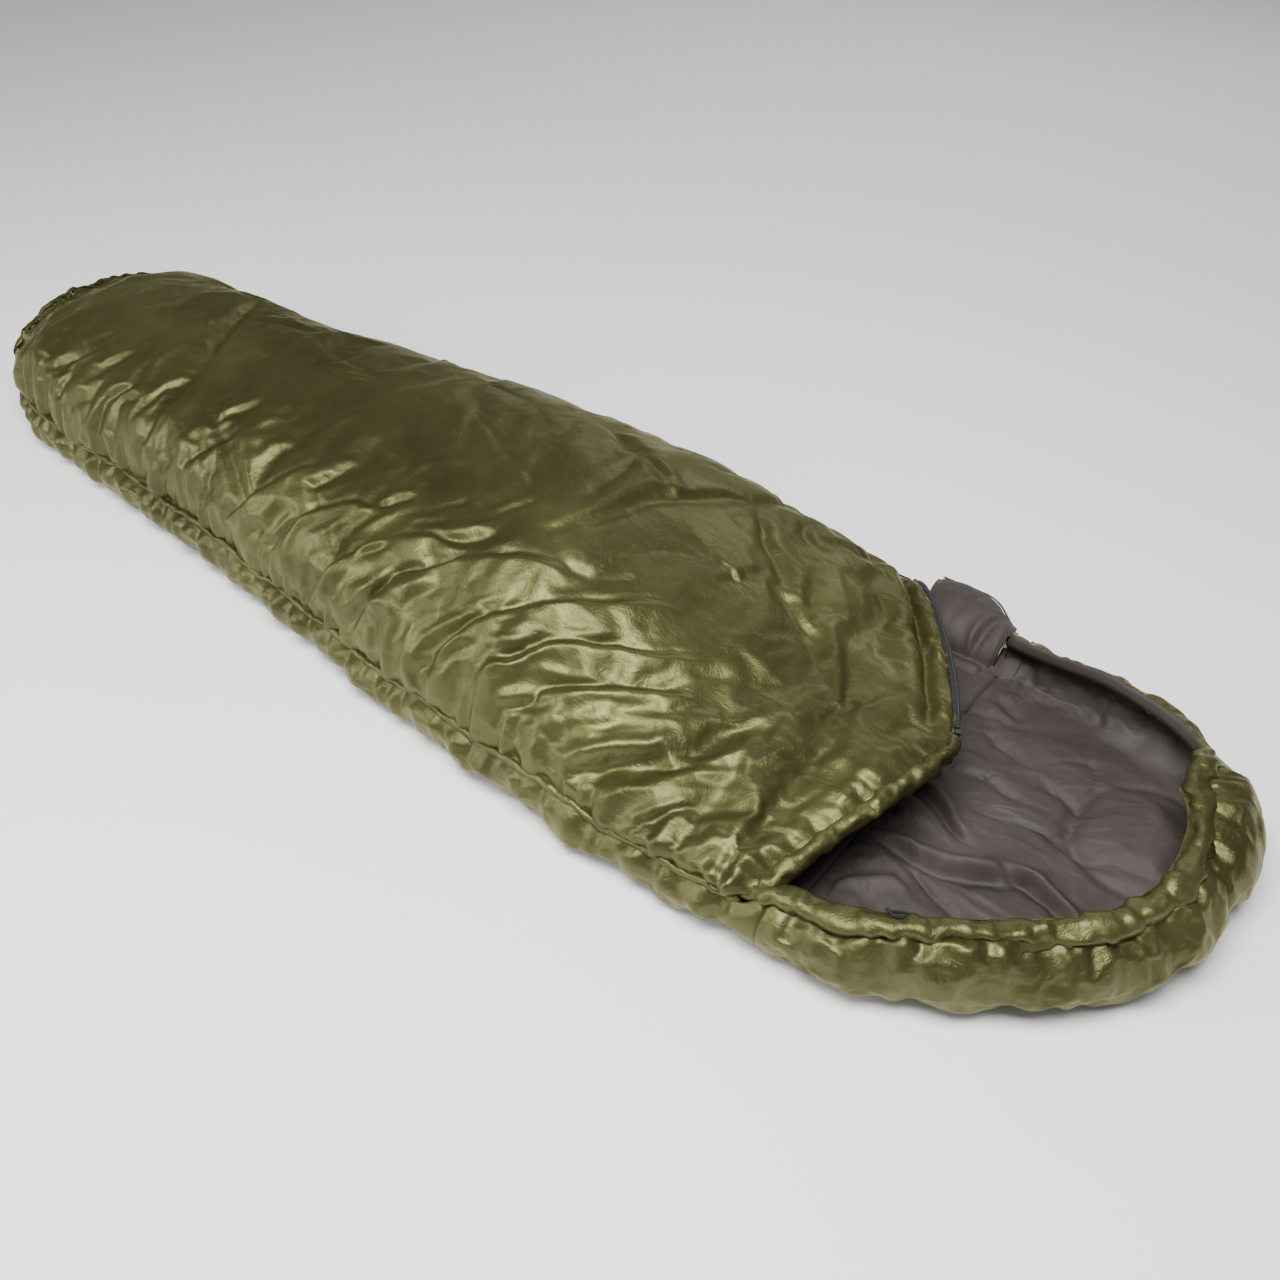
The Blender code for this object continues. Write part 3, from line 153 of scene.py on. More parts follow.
def stroke(x, t, start, end, width, height, form="step", bend=0.0):
    """One fold of cloth along a line on the unrolled surface.

    A facet rises slowly across the line and drops into a sharp crease; a step rises and falls evenly.
    """
    dx, dt = end[0] - start[0], end[1] - start[1]
    length = math.hypot(dx, dt)
    ux, ut = dx / length, dt / length
    along = ((x - start[0]) * ux + (t - start[1]) * ut) / length
    side = -(x - start[0]) * ut + (t - start[1]) * ux
    inside = np.clip(along, 0, 1)
    side = side - bend * length * 4 * inside * (1 - inside)
    fade = smoothstep(along / 0.3) * smoothstep((1 - along) / 0.3)
    q = side / (width * (0.5 + 0.5 * np.sin(PI * inside)))
    if form == "ridge":
        shape = np.exp(-q * q)
    elif form == "crease":
        shape = -np.exp(-np.abs(q) * 1.3)
    elif form == "facet":
        rise = np.clip(q, -1.6, 1)
        slope = np.where(rise < 0.72, smoothstep((rise + 1.6) / 2.32), smoothstep((1 - rise) / 0.28))
        shape = slope - 0.3 * bell((q - 1.0) / 0.22)
    else:
        shape = 2.33 * q * np.exp(-q * q)
    return height * fade * shape


def folds(x, t, table, width_share, height_share):
    """The sum of a table's folds; each row is (start, end, width, height, form, bend)."""
    lift = np.zeros_like(x)
    for start, end, width, height, form, bend in table:
        lift += stroke(x, t, start, end, width_share * width, height_share * height, form, bend)
    return lift


def wandering(x, t, cell, reach, fine_cell, fine_reach, seeds):
    """The place (x, t) shifted a little at random, so that folds drawn as lines don't run straight."""
    coarse, fine = (x / cell, t / cell), (x / fine_cell, t / fine_cell)
    return (x + reach * noise(*coarse, seeds[0]) + fine_reach * noise(*fine, seeds[1]),
            t + reach * noise(*coarse, seeds[2]) + fine_reach * noise(*fine, seeds[3]))


# ---------------------------------------------------------------- form


def half_width(x, full_at):
    foot, shoulder = FOOT_WIDTH / 2, SHOULDER_WIDTH / 2
    return foot + (shoulder - foot) * smoothstep((x - TAPER_START) / (full_at - TAPER_START))


def near_width(x):
    """Half width on the near side, drawn in to the hood's own width where the two meet."""
    share = (HOOD_JOIN - HOOD_START) / (BAG_LENGTH - HOOD_START)
    drawn_in = SHOULDER_WIDTH / 2 * (1 - (1 - share**HOOD_NEAR_POWER) ** (1 / HOOD_NEAR_POWER))
    return half_width(x, SHOULDER_AT) - drawn_in * smoothstep((x - HOOD_JOIN + 0.10) / 0.10)


def zip_width(x):
    return half_width(x, ZIP_STRAIGHT_FROM)


def middle_line(x):
    return FOOT_LEAN * (1.0 - smoothstep(x / (2 * FOOT_ROUND)))


def top_height(x):
    drop = smoothstep((x - (SHOULDER_AT - 0.30)) / (HOOD_START + 0.12 - (SHOULDER_AT - 0.30)))
    rise = FOOT_DROP + (1 - FOOT_DROP) * smoothstep(x / (2 * FOOT_ROUND))
    return BODY_HEIGHT * rise * (1 - drop) + MOUTH_HEIGHT * drop


def towards_pole(x, y, z):
    closeness = np.clip(1.0 - x / FOOT_ROUND, 0.0, 1.0)
    scale = np.sqrt(np.clip(1.0 - closeness**2, 1e-9, 1.0))
    return np.stack([x + 0.0 * y, middle_line(x) + y * scale,
                     FOOT_POLE_HEIGHT + (z - FOOT_POLE_HEIGHT) * scale], axis=-1)


def cover_point(x, angle):
    reach = np.where(angle < PI / 2, near_width(x), zip_width(x)) - SEAM_INSET
    arch = np.sign(np.sin(angle)) * np.abs(np.sin(angle)) ** ARCH_POWER
    return towards_pole(x, -reach * np.cos(angle), SEAM_HEIGHT + (top_height(x) - SEAM_HEIGHT) * arch)


def mouth_edge(angle):
    side = -np.cos(angle)
    zip_back = ZIP_EDGE_BACK * np.clip(side, 0.0, 1.0) ** ZIP_EDGE_POWER
    neck_back = NECK_EDGE_BACK * np.clip(-side, 0.0, 1.0) ** NECK_EDGE_POWER
    return MOUTH_CORNER - zip_back - neck_back


def cover_sheet(along, angle):
    return cover_point(FOOT_SEAM + along * (mouth_edge(angle) - FOOT_SEAM), angle)


def wall_profile(turn):
    return -WALL_REACH * (1 - np.cos(turn)), WALL_RISE * (1 + np.sin(turn))


def base_point(x, place):
    near, far = near_width(x), zip_width(x)
    open_side = smoothstep((x - ZIP_TOP) / 0.012)
    far_end = SEAM_ANGLE + (FLOOR_TURN + math.radians(12) - SEAM_ANGLE) * open_side
    near_top = SEAM_ANGLE + (HOOD_RIM_NEAR - SEAM_ANGLE) * smoothstep((x - HOOD_JOIN + 0.030) / 0.030)
    near_y, near_z = wall_profile(near_top + (FLOOR_TURN - near_top) * np.clip(place, 0.0, 1.0))
    far_y, far_z = wall_profile(FLOOR_TURN + (far_end - FLOOR_TURN) * np.clip(place - 2.0, 0.0, 1.0))
    across = np.clip(place - 1.0, 0.0, 1.0)
    flat = (near + far - 2 * WALL_REACH) * across - (near - WALL_REACH)
    y = np.where(place < 1.0, -(near + near_y), np.where(place < 2.0, flat, far + far_y))
    z = np.where(place < 1.0, near_z, np.where(place < 2.0, 0.0, far_z))
    return towards_pole(x, y, z)


def hood_outline(turn):
    reach = BAG_LENGTH - HOOD_START
    bearing = np.clip(turn, -PI / 2, PI / 2)
    power = np.where(bearing < 0, HOOD_NEAR_POWER, HOOD_FAR_POWER)
    forward = np.abs(np.cos(bearing)) ** (2.0 / power)
    sideways = np.sign(bearing) * np.abs(np.sin(bearing)) ** (2.0 / power)
    share = (HOOD_JOIN - HOOD_START) / reach
    start = HOOD_JOIN
    limit_near = (1 - share**HOOD_NEAR_POWER) ** (1 / HOOD_NEAR_POWER)
    limit_far = (1 - share**HOOD_FAR_POWER) ** (1 / HOOD_FAR_POWER)
    side = np.where(bearing < 0, limit_near, limit_far) * SHOULDER_WIDTH / 2
    tuck = HOOD_FAR_TUCK * np.sin(2 * np.clip(bearing, 0.0, PI / 2))
    return start + (BAG_LENGTH - start) * forward, side * sideways + HOOD_LEAN * smoothstep(forward) - tuck


def hood_frame(turn):
    step = 1e-3
    low, high = np.maximum(turn - step, -PI / 2), np.minimum(turn + step, PI / 2)
    x, y = hood_outline(turn)
    x_low, y_low = hood_outline(low)
    x_high, y_high = hood_outline(high)
    run = unit(np.stack([x_high - x_low, y_high - y_low], axis=-1))
    return x, y, run[..., 1], -run[..., 0]


def hood_point(turn, place):
    x, y, out_x, out_y = hood_frame(turn)
    straight = smoothstep((np.abs(turn) - math.radians(70)) / math.radians(20))
    out_x, out_y = out_x * (1 - straight), out_y * (1 - straight) + np.sign(turn) * straight
    length = np.sqrt(out_x**2 + out_y**2)
    out_x, out_y = out_x / length, out_y / length
    lift = HOOD_WALL_RISE + (WALL_RISE - HOOD_WALL_RISE) * smoothstep((np.abs(turn) - 1.2) / 0.37)
    curl = smoothstep((turn + 0.6) / 1.2) * (1 - smoothstep((turn - 0.35) / 0.5))
    rim_turn = HOOD_RIM_NEAR + (HOOD_RIM_FAR - HOOD_RIM_NEAR) * curl - math.radians(14) * smoothstep(
        (turn - 0.5) / 0.5)
    wall_turn = FLOOR_TURN + (rim_turn - FLOOR_TURN) * np.clip(place - 1.0, 0.0, 1.0)
    offset = -WALL_REACH * (1 - np.cos(wall_turn))
    edge_x, edge_y = x - WALL_REACH * out_x, y - WALL_REACH * out_y
    floor = np.clip(place, 0.0, 1.0)
    flat_x, flat_y = HOOD_JOIN + (edge_x - HOOD_JOIN) * floor, edge_y * floor
    on_floor = place < 1.0
    height = np.where(on_floor, 0.0, lift * (1 + np.sin(wall_turn)))
    return np.stack([np.where(on_floor, flat_x, x + offset * out_x),
                     np.where(on_floor, flat_y, y + offset * out_y), height], axis=-1)


def flap_point(along, across):
    x_share = np.clip(along, 0.0, 1.0)
    width = FLAP_WIDTH - FLAP_CORNER * smoothstep((x_share - 0.45) / 0.55) ** 1.5
    x = FLAP_START + FLAP_LENGTH * along - FLAP_LEAN * across * (1 - along)
    build = 0.7 + 0.3 * smoothstep(x_share / 0.4)
    round_top = np.clip(np.sin(PI * np.clip(0.93 * across, 0.0, 1.0) ** 0.85), 0.0, 1.0) ** 0.6
    arch = FLAP_ARCH * build * (1 - 0.25 * x_share) * round_top
    return np.stack([x, FOLD_AT + width * across, FOLD_HEIGHT + arch + 0.004 * across], axis=-1)


# ---------------------------------------------------------------- meshes


def grid_normals(points, toward):
    """Unit normals of a grid of points, on the side that the given direction or point field faces."""
    du = np.gradient(points, axis=0)
    dv = np.gradient(points, axis=1)
    normals = unit(np.cross(du, dv))
    facing = np.einsum("ijk,ijk->ij", normals, np.broadcast_to(toward, points.shape))
    return normals if facing.mean() > 0 else -normals


def seam_lift(normals, near, far):
    """Directions in which cloth is displaced, turned level beside the long seams so that edges meet."""
    near, far = bell(near / 0.018)[..., None], bell(far / 0.018)[..., None]
    sideways = np.array([0.0, 1.0, 0.0])
    return unit(normals * np.clip(1 - near - far, 0, 1) - near * sideways + far * sideways)


def seam_wave(x, away):
    """Waviness of the long near seam, the same for both panels that it joins."""
    wave = 0.0090 * noise(x / 0.075, 0 * x + 2.5, 151) + 0.0045 * noise(x / 0.031, 0 * x + 4.5, 152)
    return wave * bell(away / 0.045) * smoothstep((x - FOOT_SEAM) / 0.1) * smoothstep(
        (HOOD_JOIN - x) / 0.08)


def bind(name, first, second, outward, material, bulge=0.004):
    """Rolled cloth edge that joins two lines of points."""
    rings = 7
    rows = [first * (1 - k / (rings - 1)) + second * (k / (rings - 1))
            + np.asarray(outward) * bulge * math.sin(PI * k / (rings - 1)) for k in range(rings)]
    points = np.array(rows)
    normals = grid_normals(points, np.asarray(outward, float))
    edge = sheet(name, points, normals, material)
    thicken(edge, LINING_CLOTH)
    return edge


def run_along(path):
    """Distance along a line of points, from its first."""
    return np.concatenate([[0], np.cumsum(np.linalg.norm(np.diff(path, axis=0), axis=1))])


def length_of(path):
    return float(np.linalg.norm(np.diff(path, axis=0), axis=1).sum())


def arc_lengths(points, axis):
    step = np.linalg.norm(np.diff(points, axis=axis), axis=-1)
    total = np.cumsum(step, axis=axis)
    pad = [(0, 0), (0, 0)]
    pad[axis] = (1, 0)
    return np.pad(total, pad)


def even_columns(function, first, second):
    """Respace the second parameter so that the grid's columns stand evenly along the middle row."""
    fine = np.linspace(second[0], second[-1], 800)
    line = function(np.full_like(fine, first), fine)
    run = run_along(line)
    return np.interp(np.linspace(0, run[-1], len(second)), run, fine)


def mesh_object(name, points, faces, material, smooth=True):
    mesh = bpy.data.meshes.new(name)
    mesh.from_pydata((np.asarray(points, float).reshape(-1, 3) + SHIFT).tolist(), [], faces)
    mesh.materials.append(material)
    if smooth:
        mesh.polygons.foreach_set("use_smooth", [True] * len(mesh.polygons))
    mesh.update()
    obj = bpy.data.objects.new(name, mesh)
    bpy.context.collection.objects.link(obj)
    return obj


def sheet(name, points, normals, material, like=None):
    """A grid of points as a mesh whose quads face along the normals, judged on the grid or the one given."""
    like = points if like is None else like
    rows, columns = like.shape[:2]
    i, j = rows // 2, columns // 2
    turn = np.cross(like[i + 1, j] - like[i, j], like[i, j + 1] - like[i, j])
    flip = float(turn @ normals[i, j]) < 0
    faces = []
    for i in range(rows - 1):
        for j in range(columns - 1):
            a, b = i * columns + j, (i + 1) * columns + j
            face = (a, b, b + 1, a + 1)
            faces.append(face[::-1] if flip else face)
    return mesh_object(name, points, faces, material)


def ring_faces(rings, sides, closed=False):
    """Faces between rings of points in a row, with end caps, or joined round when closed."""
    faces = []
    for i in range(rings if closed else rings - 1):
        for k in range(sides):
            n, j = (k + 1) % sides, (i + 1) % rings
            faces.append((i * sides + k, i * sides + n, j * sides + n, j * sides + k))
    if not closed:
        faces.append(tuple(reversed(range(sides))))
        faces.append(tuple((rings - 1) * sides + k for k in range(sides)))
    return faces


def apply_modifiers(obj):
    graph = bpy.context.evaluated_depsgraph_get()
    mesh = bpy.data.meshes.new_from_object(obj.evaluated_get(graph), depsgraph=graph)
    obj.modifiers.clear()
    old, obj.data = obj.data, mesh
    bpy.data.meshes.remove(old)


def thicken(obj, thickness):
    made = obj.modifiers.new("thick", "SOLIDIFY")
    made.thickness, made.offset, made.use_rim = thickness, -1.0, True
    apply_modifiers(obj)


def settle(obj, pins, growth, pressure, cap, frames=16, bending=0.3, slack=None):
    """Cloth simulation: the sheet grows a little between its seams, so it buckles as slack cloth does."""
    rest = places_of(obj)
    held = obj.vertex_groups.new(name="held")
    for index in range(len(pins)):
        if pins[index] > 0:
            held.add([index], float(pins[index]), "REPLACE")
    cloth = obj.modifiers.new("Cloth", "CLOTH")
    setting = cloth.settings
    setting.quality = 4
    setting.mass = 0.15
    setting.air_damping = 4.0
    setting.tension_stiffness = setting.compression_stiffness = 18
    setting.shear_stiffness = 6
    setting.bending_stiffness = bending
    setting.vertex_group_mass = "held"
    setting.pin_stiffness = 1.0
    setting.shrink_min = -growth
    if slack is not None:
        loose = obj.vertex_groups.new(name="loose")
        for index in range(len(slack)):
            loose.add([index], float(1 - slack[index]), "REPLACE")
        setting.vertex_group_shrink = "loose"
        setting.shrink_max = 0.0
    setting.use_pressure = True
    setting.uniform_pressure_force = pressure
    setting.effector_weights.gravity = 0.0
    cloth.point_cache.frame_start, cloth.point_cache.frame_end = 1, frames
    scene = bpy.context.scene
    for frame_number in range(1, frames + 1):
        scene.frame_set(frame_number)
    graph = bpy.context.evaluated_depsgraph_get()
    moved = np.array([v.co for v in obj.evaluated_get(graph).data.vertices])
    scene.frame_set(1)
    obj.modifiers.clear()
    obj.vertex_groups.clear()
    step = moved - rest
    size = np.linalg.norm(step, axis=1, keepdims=True)
    step = np.where(size > cap, step * cap / np.maximum(size, 1e-9), step)
    moved = rest + step
    moved[:, 2] = np.maximum(moved[:, 2], 0.0005)
    obj.data.vertices.foreach_set("co", moved.ravel())
    obj.data.update()


def refine(obj):
    made = obj.modifiers.new("fine", "SUBSURF")
    made.levels = made.render_levels = 1
    apply_modifiers(obj)


def places_of(obj):
    return np.array([v.co for v in obj.data.vertices])


def keep_off_floor(obj):
    places = places_of(obj)
    places[:, 2] = np.maximum(places[:, 2], 0.0002)
    obj.data.vertices.foreach_set("co", places.ravel())


def path_frames(path):
    """Level outward and upward directions beside a path."""
    tangents = unit(np.gradient(path, axis=0))
    outs = unit(np.cross(tangents, (0.0, 0.0, 1.0)))
    return outs, unit(np.cross(outs, tangents))


def tube(name, path, outs, ups, radius, material, sides=18, flat=1.0, shape=None):
    """A closed tube along a path; shape(run, around) scales its radius, run in metres along it."""
    path = np.asarray(path)
    run = run_along(path)
    around = np.arange(sides) * math.tau / sides
    r, a = np.meshgrid(run, around, indexing="ij")
    size = radius * (np.ones_like(r) if shape is None else shape(r, a))
    ends = np.sqrt(np.clip(np.minimum(r, run[-1] - r) / (radius * 1.2), 0.02, 1.0))
    size = size * ends
    points = (path[:, None] + outs[:, None] * (np.cos(a) * size)[..., None]
              + ups[:, None] * (np.sin(a) * size * flat)[..., None])
    points = points.reshape(-1, 3)
    return mesh_object(name, points, orient(points, ring_faces(len(path), sides)), material)


def orient(points, faces):
    volume = 0.0
    for face in faces:
        a = points[face[0]]
        for k in range(1, len(face) - 1):
            volume += float(np.dot(a, np.cross(points[face[k]], points[face[k + 1]])))
    return faces if volume > 0 else [tuple(reversed(face)) for face in faces]


def strip(name, path, outs, ups, profile, material):
    """A bar whose closed profile, (out, up) pairs, is carried along a path."""
    points = np.array([[p + o * a + u * b for a, b in profile] for p, o, u in zip(path, outs, ups)])
    points = points.reshape(-1, 3)
    faces = orient(points, ring_faces(len(path), len(profile)))
    return mesh_object(name, points, faces, material, smooth=False)


def at_runs(where, run, values):
    return np.stack([np.interp(where, run, values[:, k]) for k in range(3)], axis=1)


def resample(path, spacing):
    run = run_along(path)
    where = np.linspace(0, run[-1], max(3, int(run[-1] / spacing) + 1))
    return at_runs(where, run, path)


def teeth(name, path, outs, ups, pitch, width, height, centre, material):
    """A row of zip teeth: small rounded blocks along the path, each a closed solid."""
    run = run_along(path)
    where = np.arange(pitch / 2, run[-1], pitch)
    at = at_runs(where, run, path)
    out, up = unit(at_runs(where, run, outs)), unit(at_runs(where, run, ups))
    tangent = unit(np.cross(out, up))
    outline = [(-0.5, -0.3), (-0.3, -0.5), (0.3, -0.5), (0.5, -0.3), (0.5, 0.3), (0.3, 0.5), (-0.3, 0.5),
               (-0.5, 0.3)]
    rings = ((-0.5, 0.75), (-0.25, 1.0), (0.25, 1.0), (0.5, 0.75))
    block = ring_faces(len(rings), len(outline))
    points, faces = [], []
    for p, o, u, t in zip(at, out, up, tangent):
        base = len(points)
        faces += [tuple(base + k for k in face) for face in block]
        for end, shrink in rings:
            for a, b in outline:
                points.append(p + o * (centre + a * width * shrink) + u * b * height * shrink
                              + t * end * pitch * 0.62)
    points = np.array(points)
    if orient(points, block) != block:
        faces = [tuple(reversed(face)) for face in faces]
    return mesh_object(name, points, faces, material)


# ---------------------------------------------------------------- materials


class Nodes:
    """A small builder for a Principled material's node tree."""

    def __init__(self, name):
        self.material = bpy.data.materials.new(name)
        self.material.use_nodes = True
        self.tree = self.material.node_tree
        self.shader = self.tree.nodes["Principled BSDF"]
        self.place = self.tree.nodes.new("ShaderNodeTexCoord").outputs["Object"]

    def node(self, kind, **sockets):
        made = self.tree.nodes.new(kind)
        for key, value in sockets.items():
            self.feed(made.inputs[key.replace("_", " ")], value)
        return made

    def feed(self, socket, value):
        if isinstance(value, bpy.types.NodeSocket):
            self.tree.links.new(value, socket)
        else:
            socket.default_value = value

    def noise(self, scale, detail=3.0, rough=0.55, distortion=0.0):
        made = self.node("ShaderNodeTexNoise", Vector=self.place, Scale=scale, Detail=detail,
                         Roughness=rough, Distortion=distortion)
        return made.outputs["Fac"]

    def ramp(self, value, stops):
        made = self.node("ShaderNodeValToRGB", Fac=value)
        ramp = made.color_ramp
        while len(ramp.elements) < len(stops):
            ramp.elements.new(0.5)
        for element, (position, colour) in zip(ramp.elements, stops):
            element.position = position
            element.color = (*colour, 1.0)
        return made.outputs["Color"]

    def level(self, value, low, high, out_low, out_high):
        made = self.node("ShaderNodeMapRange", Value=value)
        for key, number in zip(("From Min", "From Max", "To Min", "To Max"), (low, high, out_low, out_high)):
            made.inputs[key].default_value = number
        return made.outputs["Result"]

    def maths(self, operation, a, b):
        made = self.tree.nodes.new("ShaderNodeMath")
        made.operation = operation
        self.feed(made.inputs[0], a)
        self.feed(made.inputs[1], b)
        return made.outputs[0]

    def weave(self, threads):
        """Plain weave: two sets of waves at right angles, on all three faces of space."""
        parts = []
        for axis in ("X", "Y", "Z"):
            wave = self.node("ShaderNodeTexWave", Vector=self.place, Scale=threads, Distortion=0.6,
                             Detail=1.0)
            wave.bands_direction = axis
            parts.append(wave.outputs["Fac"])
        return self.maths("MULTIPLY", self.maths("ADD", parts[0], parts[1]), self.maths("ADD", parts[2], 0.5))

    def bump(self, height, strength, distance, below=None):
        made = self.node("ShaderNodeBump", Height=height, Strength=strength, Distance=distance)
        if below is not None:
            self.tree.links.new(below, made.inputs["Normal"])
        return made.outputs["Normal"]

    def done(self, **sockets):
        for key, value in sockets.items():
            self.feed(self.shader.inputs[key.replace("_", " ")], value)
        return self.material


def olive_cloth(name, tone=1.0, metallic=0.35, crinkle=0.5):
    """Shiny coated taffeta: olive with a yellow-green sheen, fine weave and small crinkles."""
    n = Nodes(name)
    base = n.ramp(n.noise(3.2, 4.0, 0.6, 0.4), [
        (at, tuple(tone * c for c in colour)) for at, colour in (
            (0.30, (0.019, 0.018, 0.006)), (0.52, (0.034, 0.033, 0.011)), (0.72, (0.060, 0.058, 0.020)))])
    crinkles = n.noise(55.0, 5.0, 0.62, 1.6)
    fine = n.bump(n.weave(260.0), 0.12, 0.0002)
    normal = n.bump(crinkles, crinkle, 0.0022, fine)
    rough = n.level(n.noise(14.0, 3.0), 0.3, 0.7, 0.33, 0.46)
    return n.done(Base_Color=base, Roughness=rough, Metallic=metallic, Normal=normal, IOR=1.62,
                  Specular_Tint=(1.0, 0.96, 0.44, 1.0), Specular_IOR_Level=0.75)


def taupe_cloth(name):
    """Matt brown-grey lining with a soft crinkle."""
    n = Nodes(name)
    base = n.ramp(n.noise(5.0, 4.0, 0.6, 0.5), [
        (0.30, (0.026, 0.020, 0.017)), (0.55, (0.042, 0.033, 0.029)), (0.75, (0.064, 0.052, 0.046))])
    fine = n.bump(n.weave(230.0), 0.15, 0.0002)
    normal = n.bump(n.noise(42.0, 4.0, 0.6, 1.2), 0.4, 0.0020, fine)
    rough = n.level(n.noise(12.0, 3.0), 0.3, 0.7, 0.58, 0.72)
    return n.done(Base_Color=base, Roughness=rough, Normal=normal, Specular_IOR_Level=0.35)


def webbing(name):
    n = Nodes(name)
    ribs = n.weave(520.0)
    base = n.ramp(ribs, [(0.2, (0.006, 0.006, 0.007)), (0.8, (0.030, 0.030, 0.032))])
    return n.done(Base_Color=base, Roughness=0.8, Normal=n.bump(ribs, 0.6, 0.0004), Specular_IOR_Level=0.15)


def plastic(name, colour=(0.012, 0.012, 0.013), rough=0.42):
    n = Nodes(name)
    base = n.ramp(n.noise(180.0, 3.0), [(0.3, colour), (0.7, tuple(1.5 * c + 0.002 for c in colour))])
    return n.done(Base_Color=base, Roughness=n.level(n.noise(60.0), 0.3, 0.7, rough - 0.06, rough + 0.08),
                  Normal=n.bump(n.noise(900.0, 2.0), 0.1, 0.0001))


def metal(name, colour, rough):
    n = Nodes(name)
    worn = n.noise(240.0, 4.0, 0.65)
    base = n.ramp(worn, [(0.35, colour), (0.7, tuple(1.8 * c for c in colour))])
    return n.done(Base_Color=base, Metallic=1.0, Roughness=n.level(worn, 0.3, 0.7, rough, rough + 0.15),
                  Normal=n.bump(n.noise(1200.0, 2.0), 0.08, 0.0001))


OLIVE = olive_cloth("olive_satin", 1.0, 0.50, 0.45)
OLIVE_SIDE = olive_cloth("olive_satin_side", 0.95, 0.45, 0.6)
OLIVE_TRIM = olive_cloth("olive_trim_satin", 0.95, 0.40, 0.7)
TAUPE = taupe_cloth("taupe_taffeta")
WEBBING = webbing("black_webbing_weave")
CORD = webbing("black_cord_braid")
COIL = plastic("black_coil_nylon", (0.010, 0.010, 0.011), 0.35)
PLASTIC = plastic("black_moulded_plastic")
METAL = metal("dark_coated_metal", (0.055, 0.055, 0.058), 0.30)
SPRING = metal("bright_spring_steel", (0.50, 0.50, 0.52), 0.22)


def piece(obj, body, slot, *nodes, fill=None):
    """Put a piece on its body and hide the CAD nodes it stands for; the slot that names its finish is not
    used.
    """
    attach(obj, body)
    if nodes:
        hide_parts(*nodes)
    return obj


# ---------------------------------------------------------------- camera, light, floor


def make_stage():
    camera = bpy.data.objects.new("camera", bpy.data.cameras.new("camera"))
    bpy.context.collection.objects.link(camera)
    camera.location = (1.2124, -1.1535, 1.258)
    camera.rotation_euler = (math.radians(90 - 40.48), 0.0, math.radians(38.72))
    camera.data.sensor_width, camera.data.lens = 36.0, 36.56
    camera.data.clip_start, camera.data.clip_end = 0.05, 60.0
    bpy.context.scene.camera = camera
    world = bpy.data.worlds.new("studio")
    bpy.context.scene.world = world
    world.use_nodes = True
    background = world.node_tree.nodes["Background"]
    background.inputs["Color"].default_value = (1.0, 1.0, 1.0, 1.0)
    background.inputs["Strength"].default_value = WORLD_LIGHT
    for name, place, aim, size, power in LIGHTS:
        lamp = bpy.data.lights.new(name, "AREA")
        lamp.shape, lamp.size, lamp.size_y, lamp.energy = "RECTANGLE", size[0], size[1], power
        obj = bpy.data.objects.new(name, lamp)
        bpy.context.collection.objects.link(obj)
        obj.location = place
        obj.rotation_euler = (Vector(aim) - Vector(place)).to_track_quat("-Z", "Y").to_euler()
    floor = mesh_object("floor", np.array([[-9, -9, 0], [9, -9, 0], [9, 9, 0], [-9, 9, 0]]) - SHIFT,
                        [(0, 1, 2, 3)], floor_material())


def floor_material():
    n = Nodes("pale_floor")
    return n.done(Base_Color=(0.88, 0.88, 0.88, 1.0), Roughness=0.9)


WORLD_LIGHT = 0.27
LIGHTS = (
    ("overhead", (0.75, -1.0, 2.5), (0.35, -0.2, 0.0), (1.9, 1.2), 165.0),
    ("near_left", (-1.9, -2.6, 1.5), (0.1, 0.0, 0.1), (1.4, 1.4), 75.0),
    ("far_back", (-0.6, 3.4, 2.2), (0.0, 0.0, 0.1), (2.5, 1.0), 30.0),
)
make_stage()


# ---------------------------------------------------------------- cover


def unrolled(x, y):
    """The place (x, y) with y as the distance round the cover's section from its top line."""
    angle = np.linspace(0, PI, 400)
    section = cover_point(np.full_like(angle, x), angle)
    run = run_along(section)
    run = run - run[200]
    return x, float(np.interp(y, section[:, 1], run))


SEAM_PINCH = 0.0070
# The highest folds are pressed down softly above this height
COVER_CEILING, CEILING_GIVE = CAD_BOX[1][2] + 0.0070, 0.0070

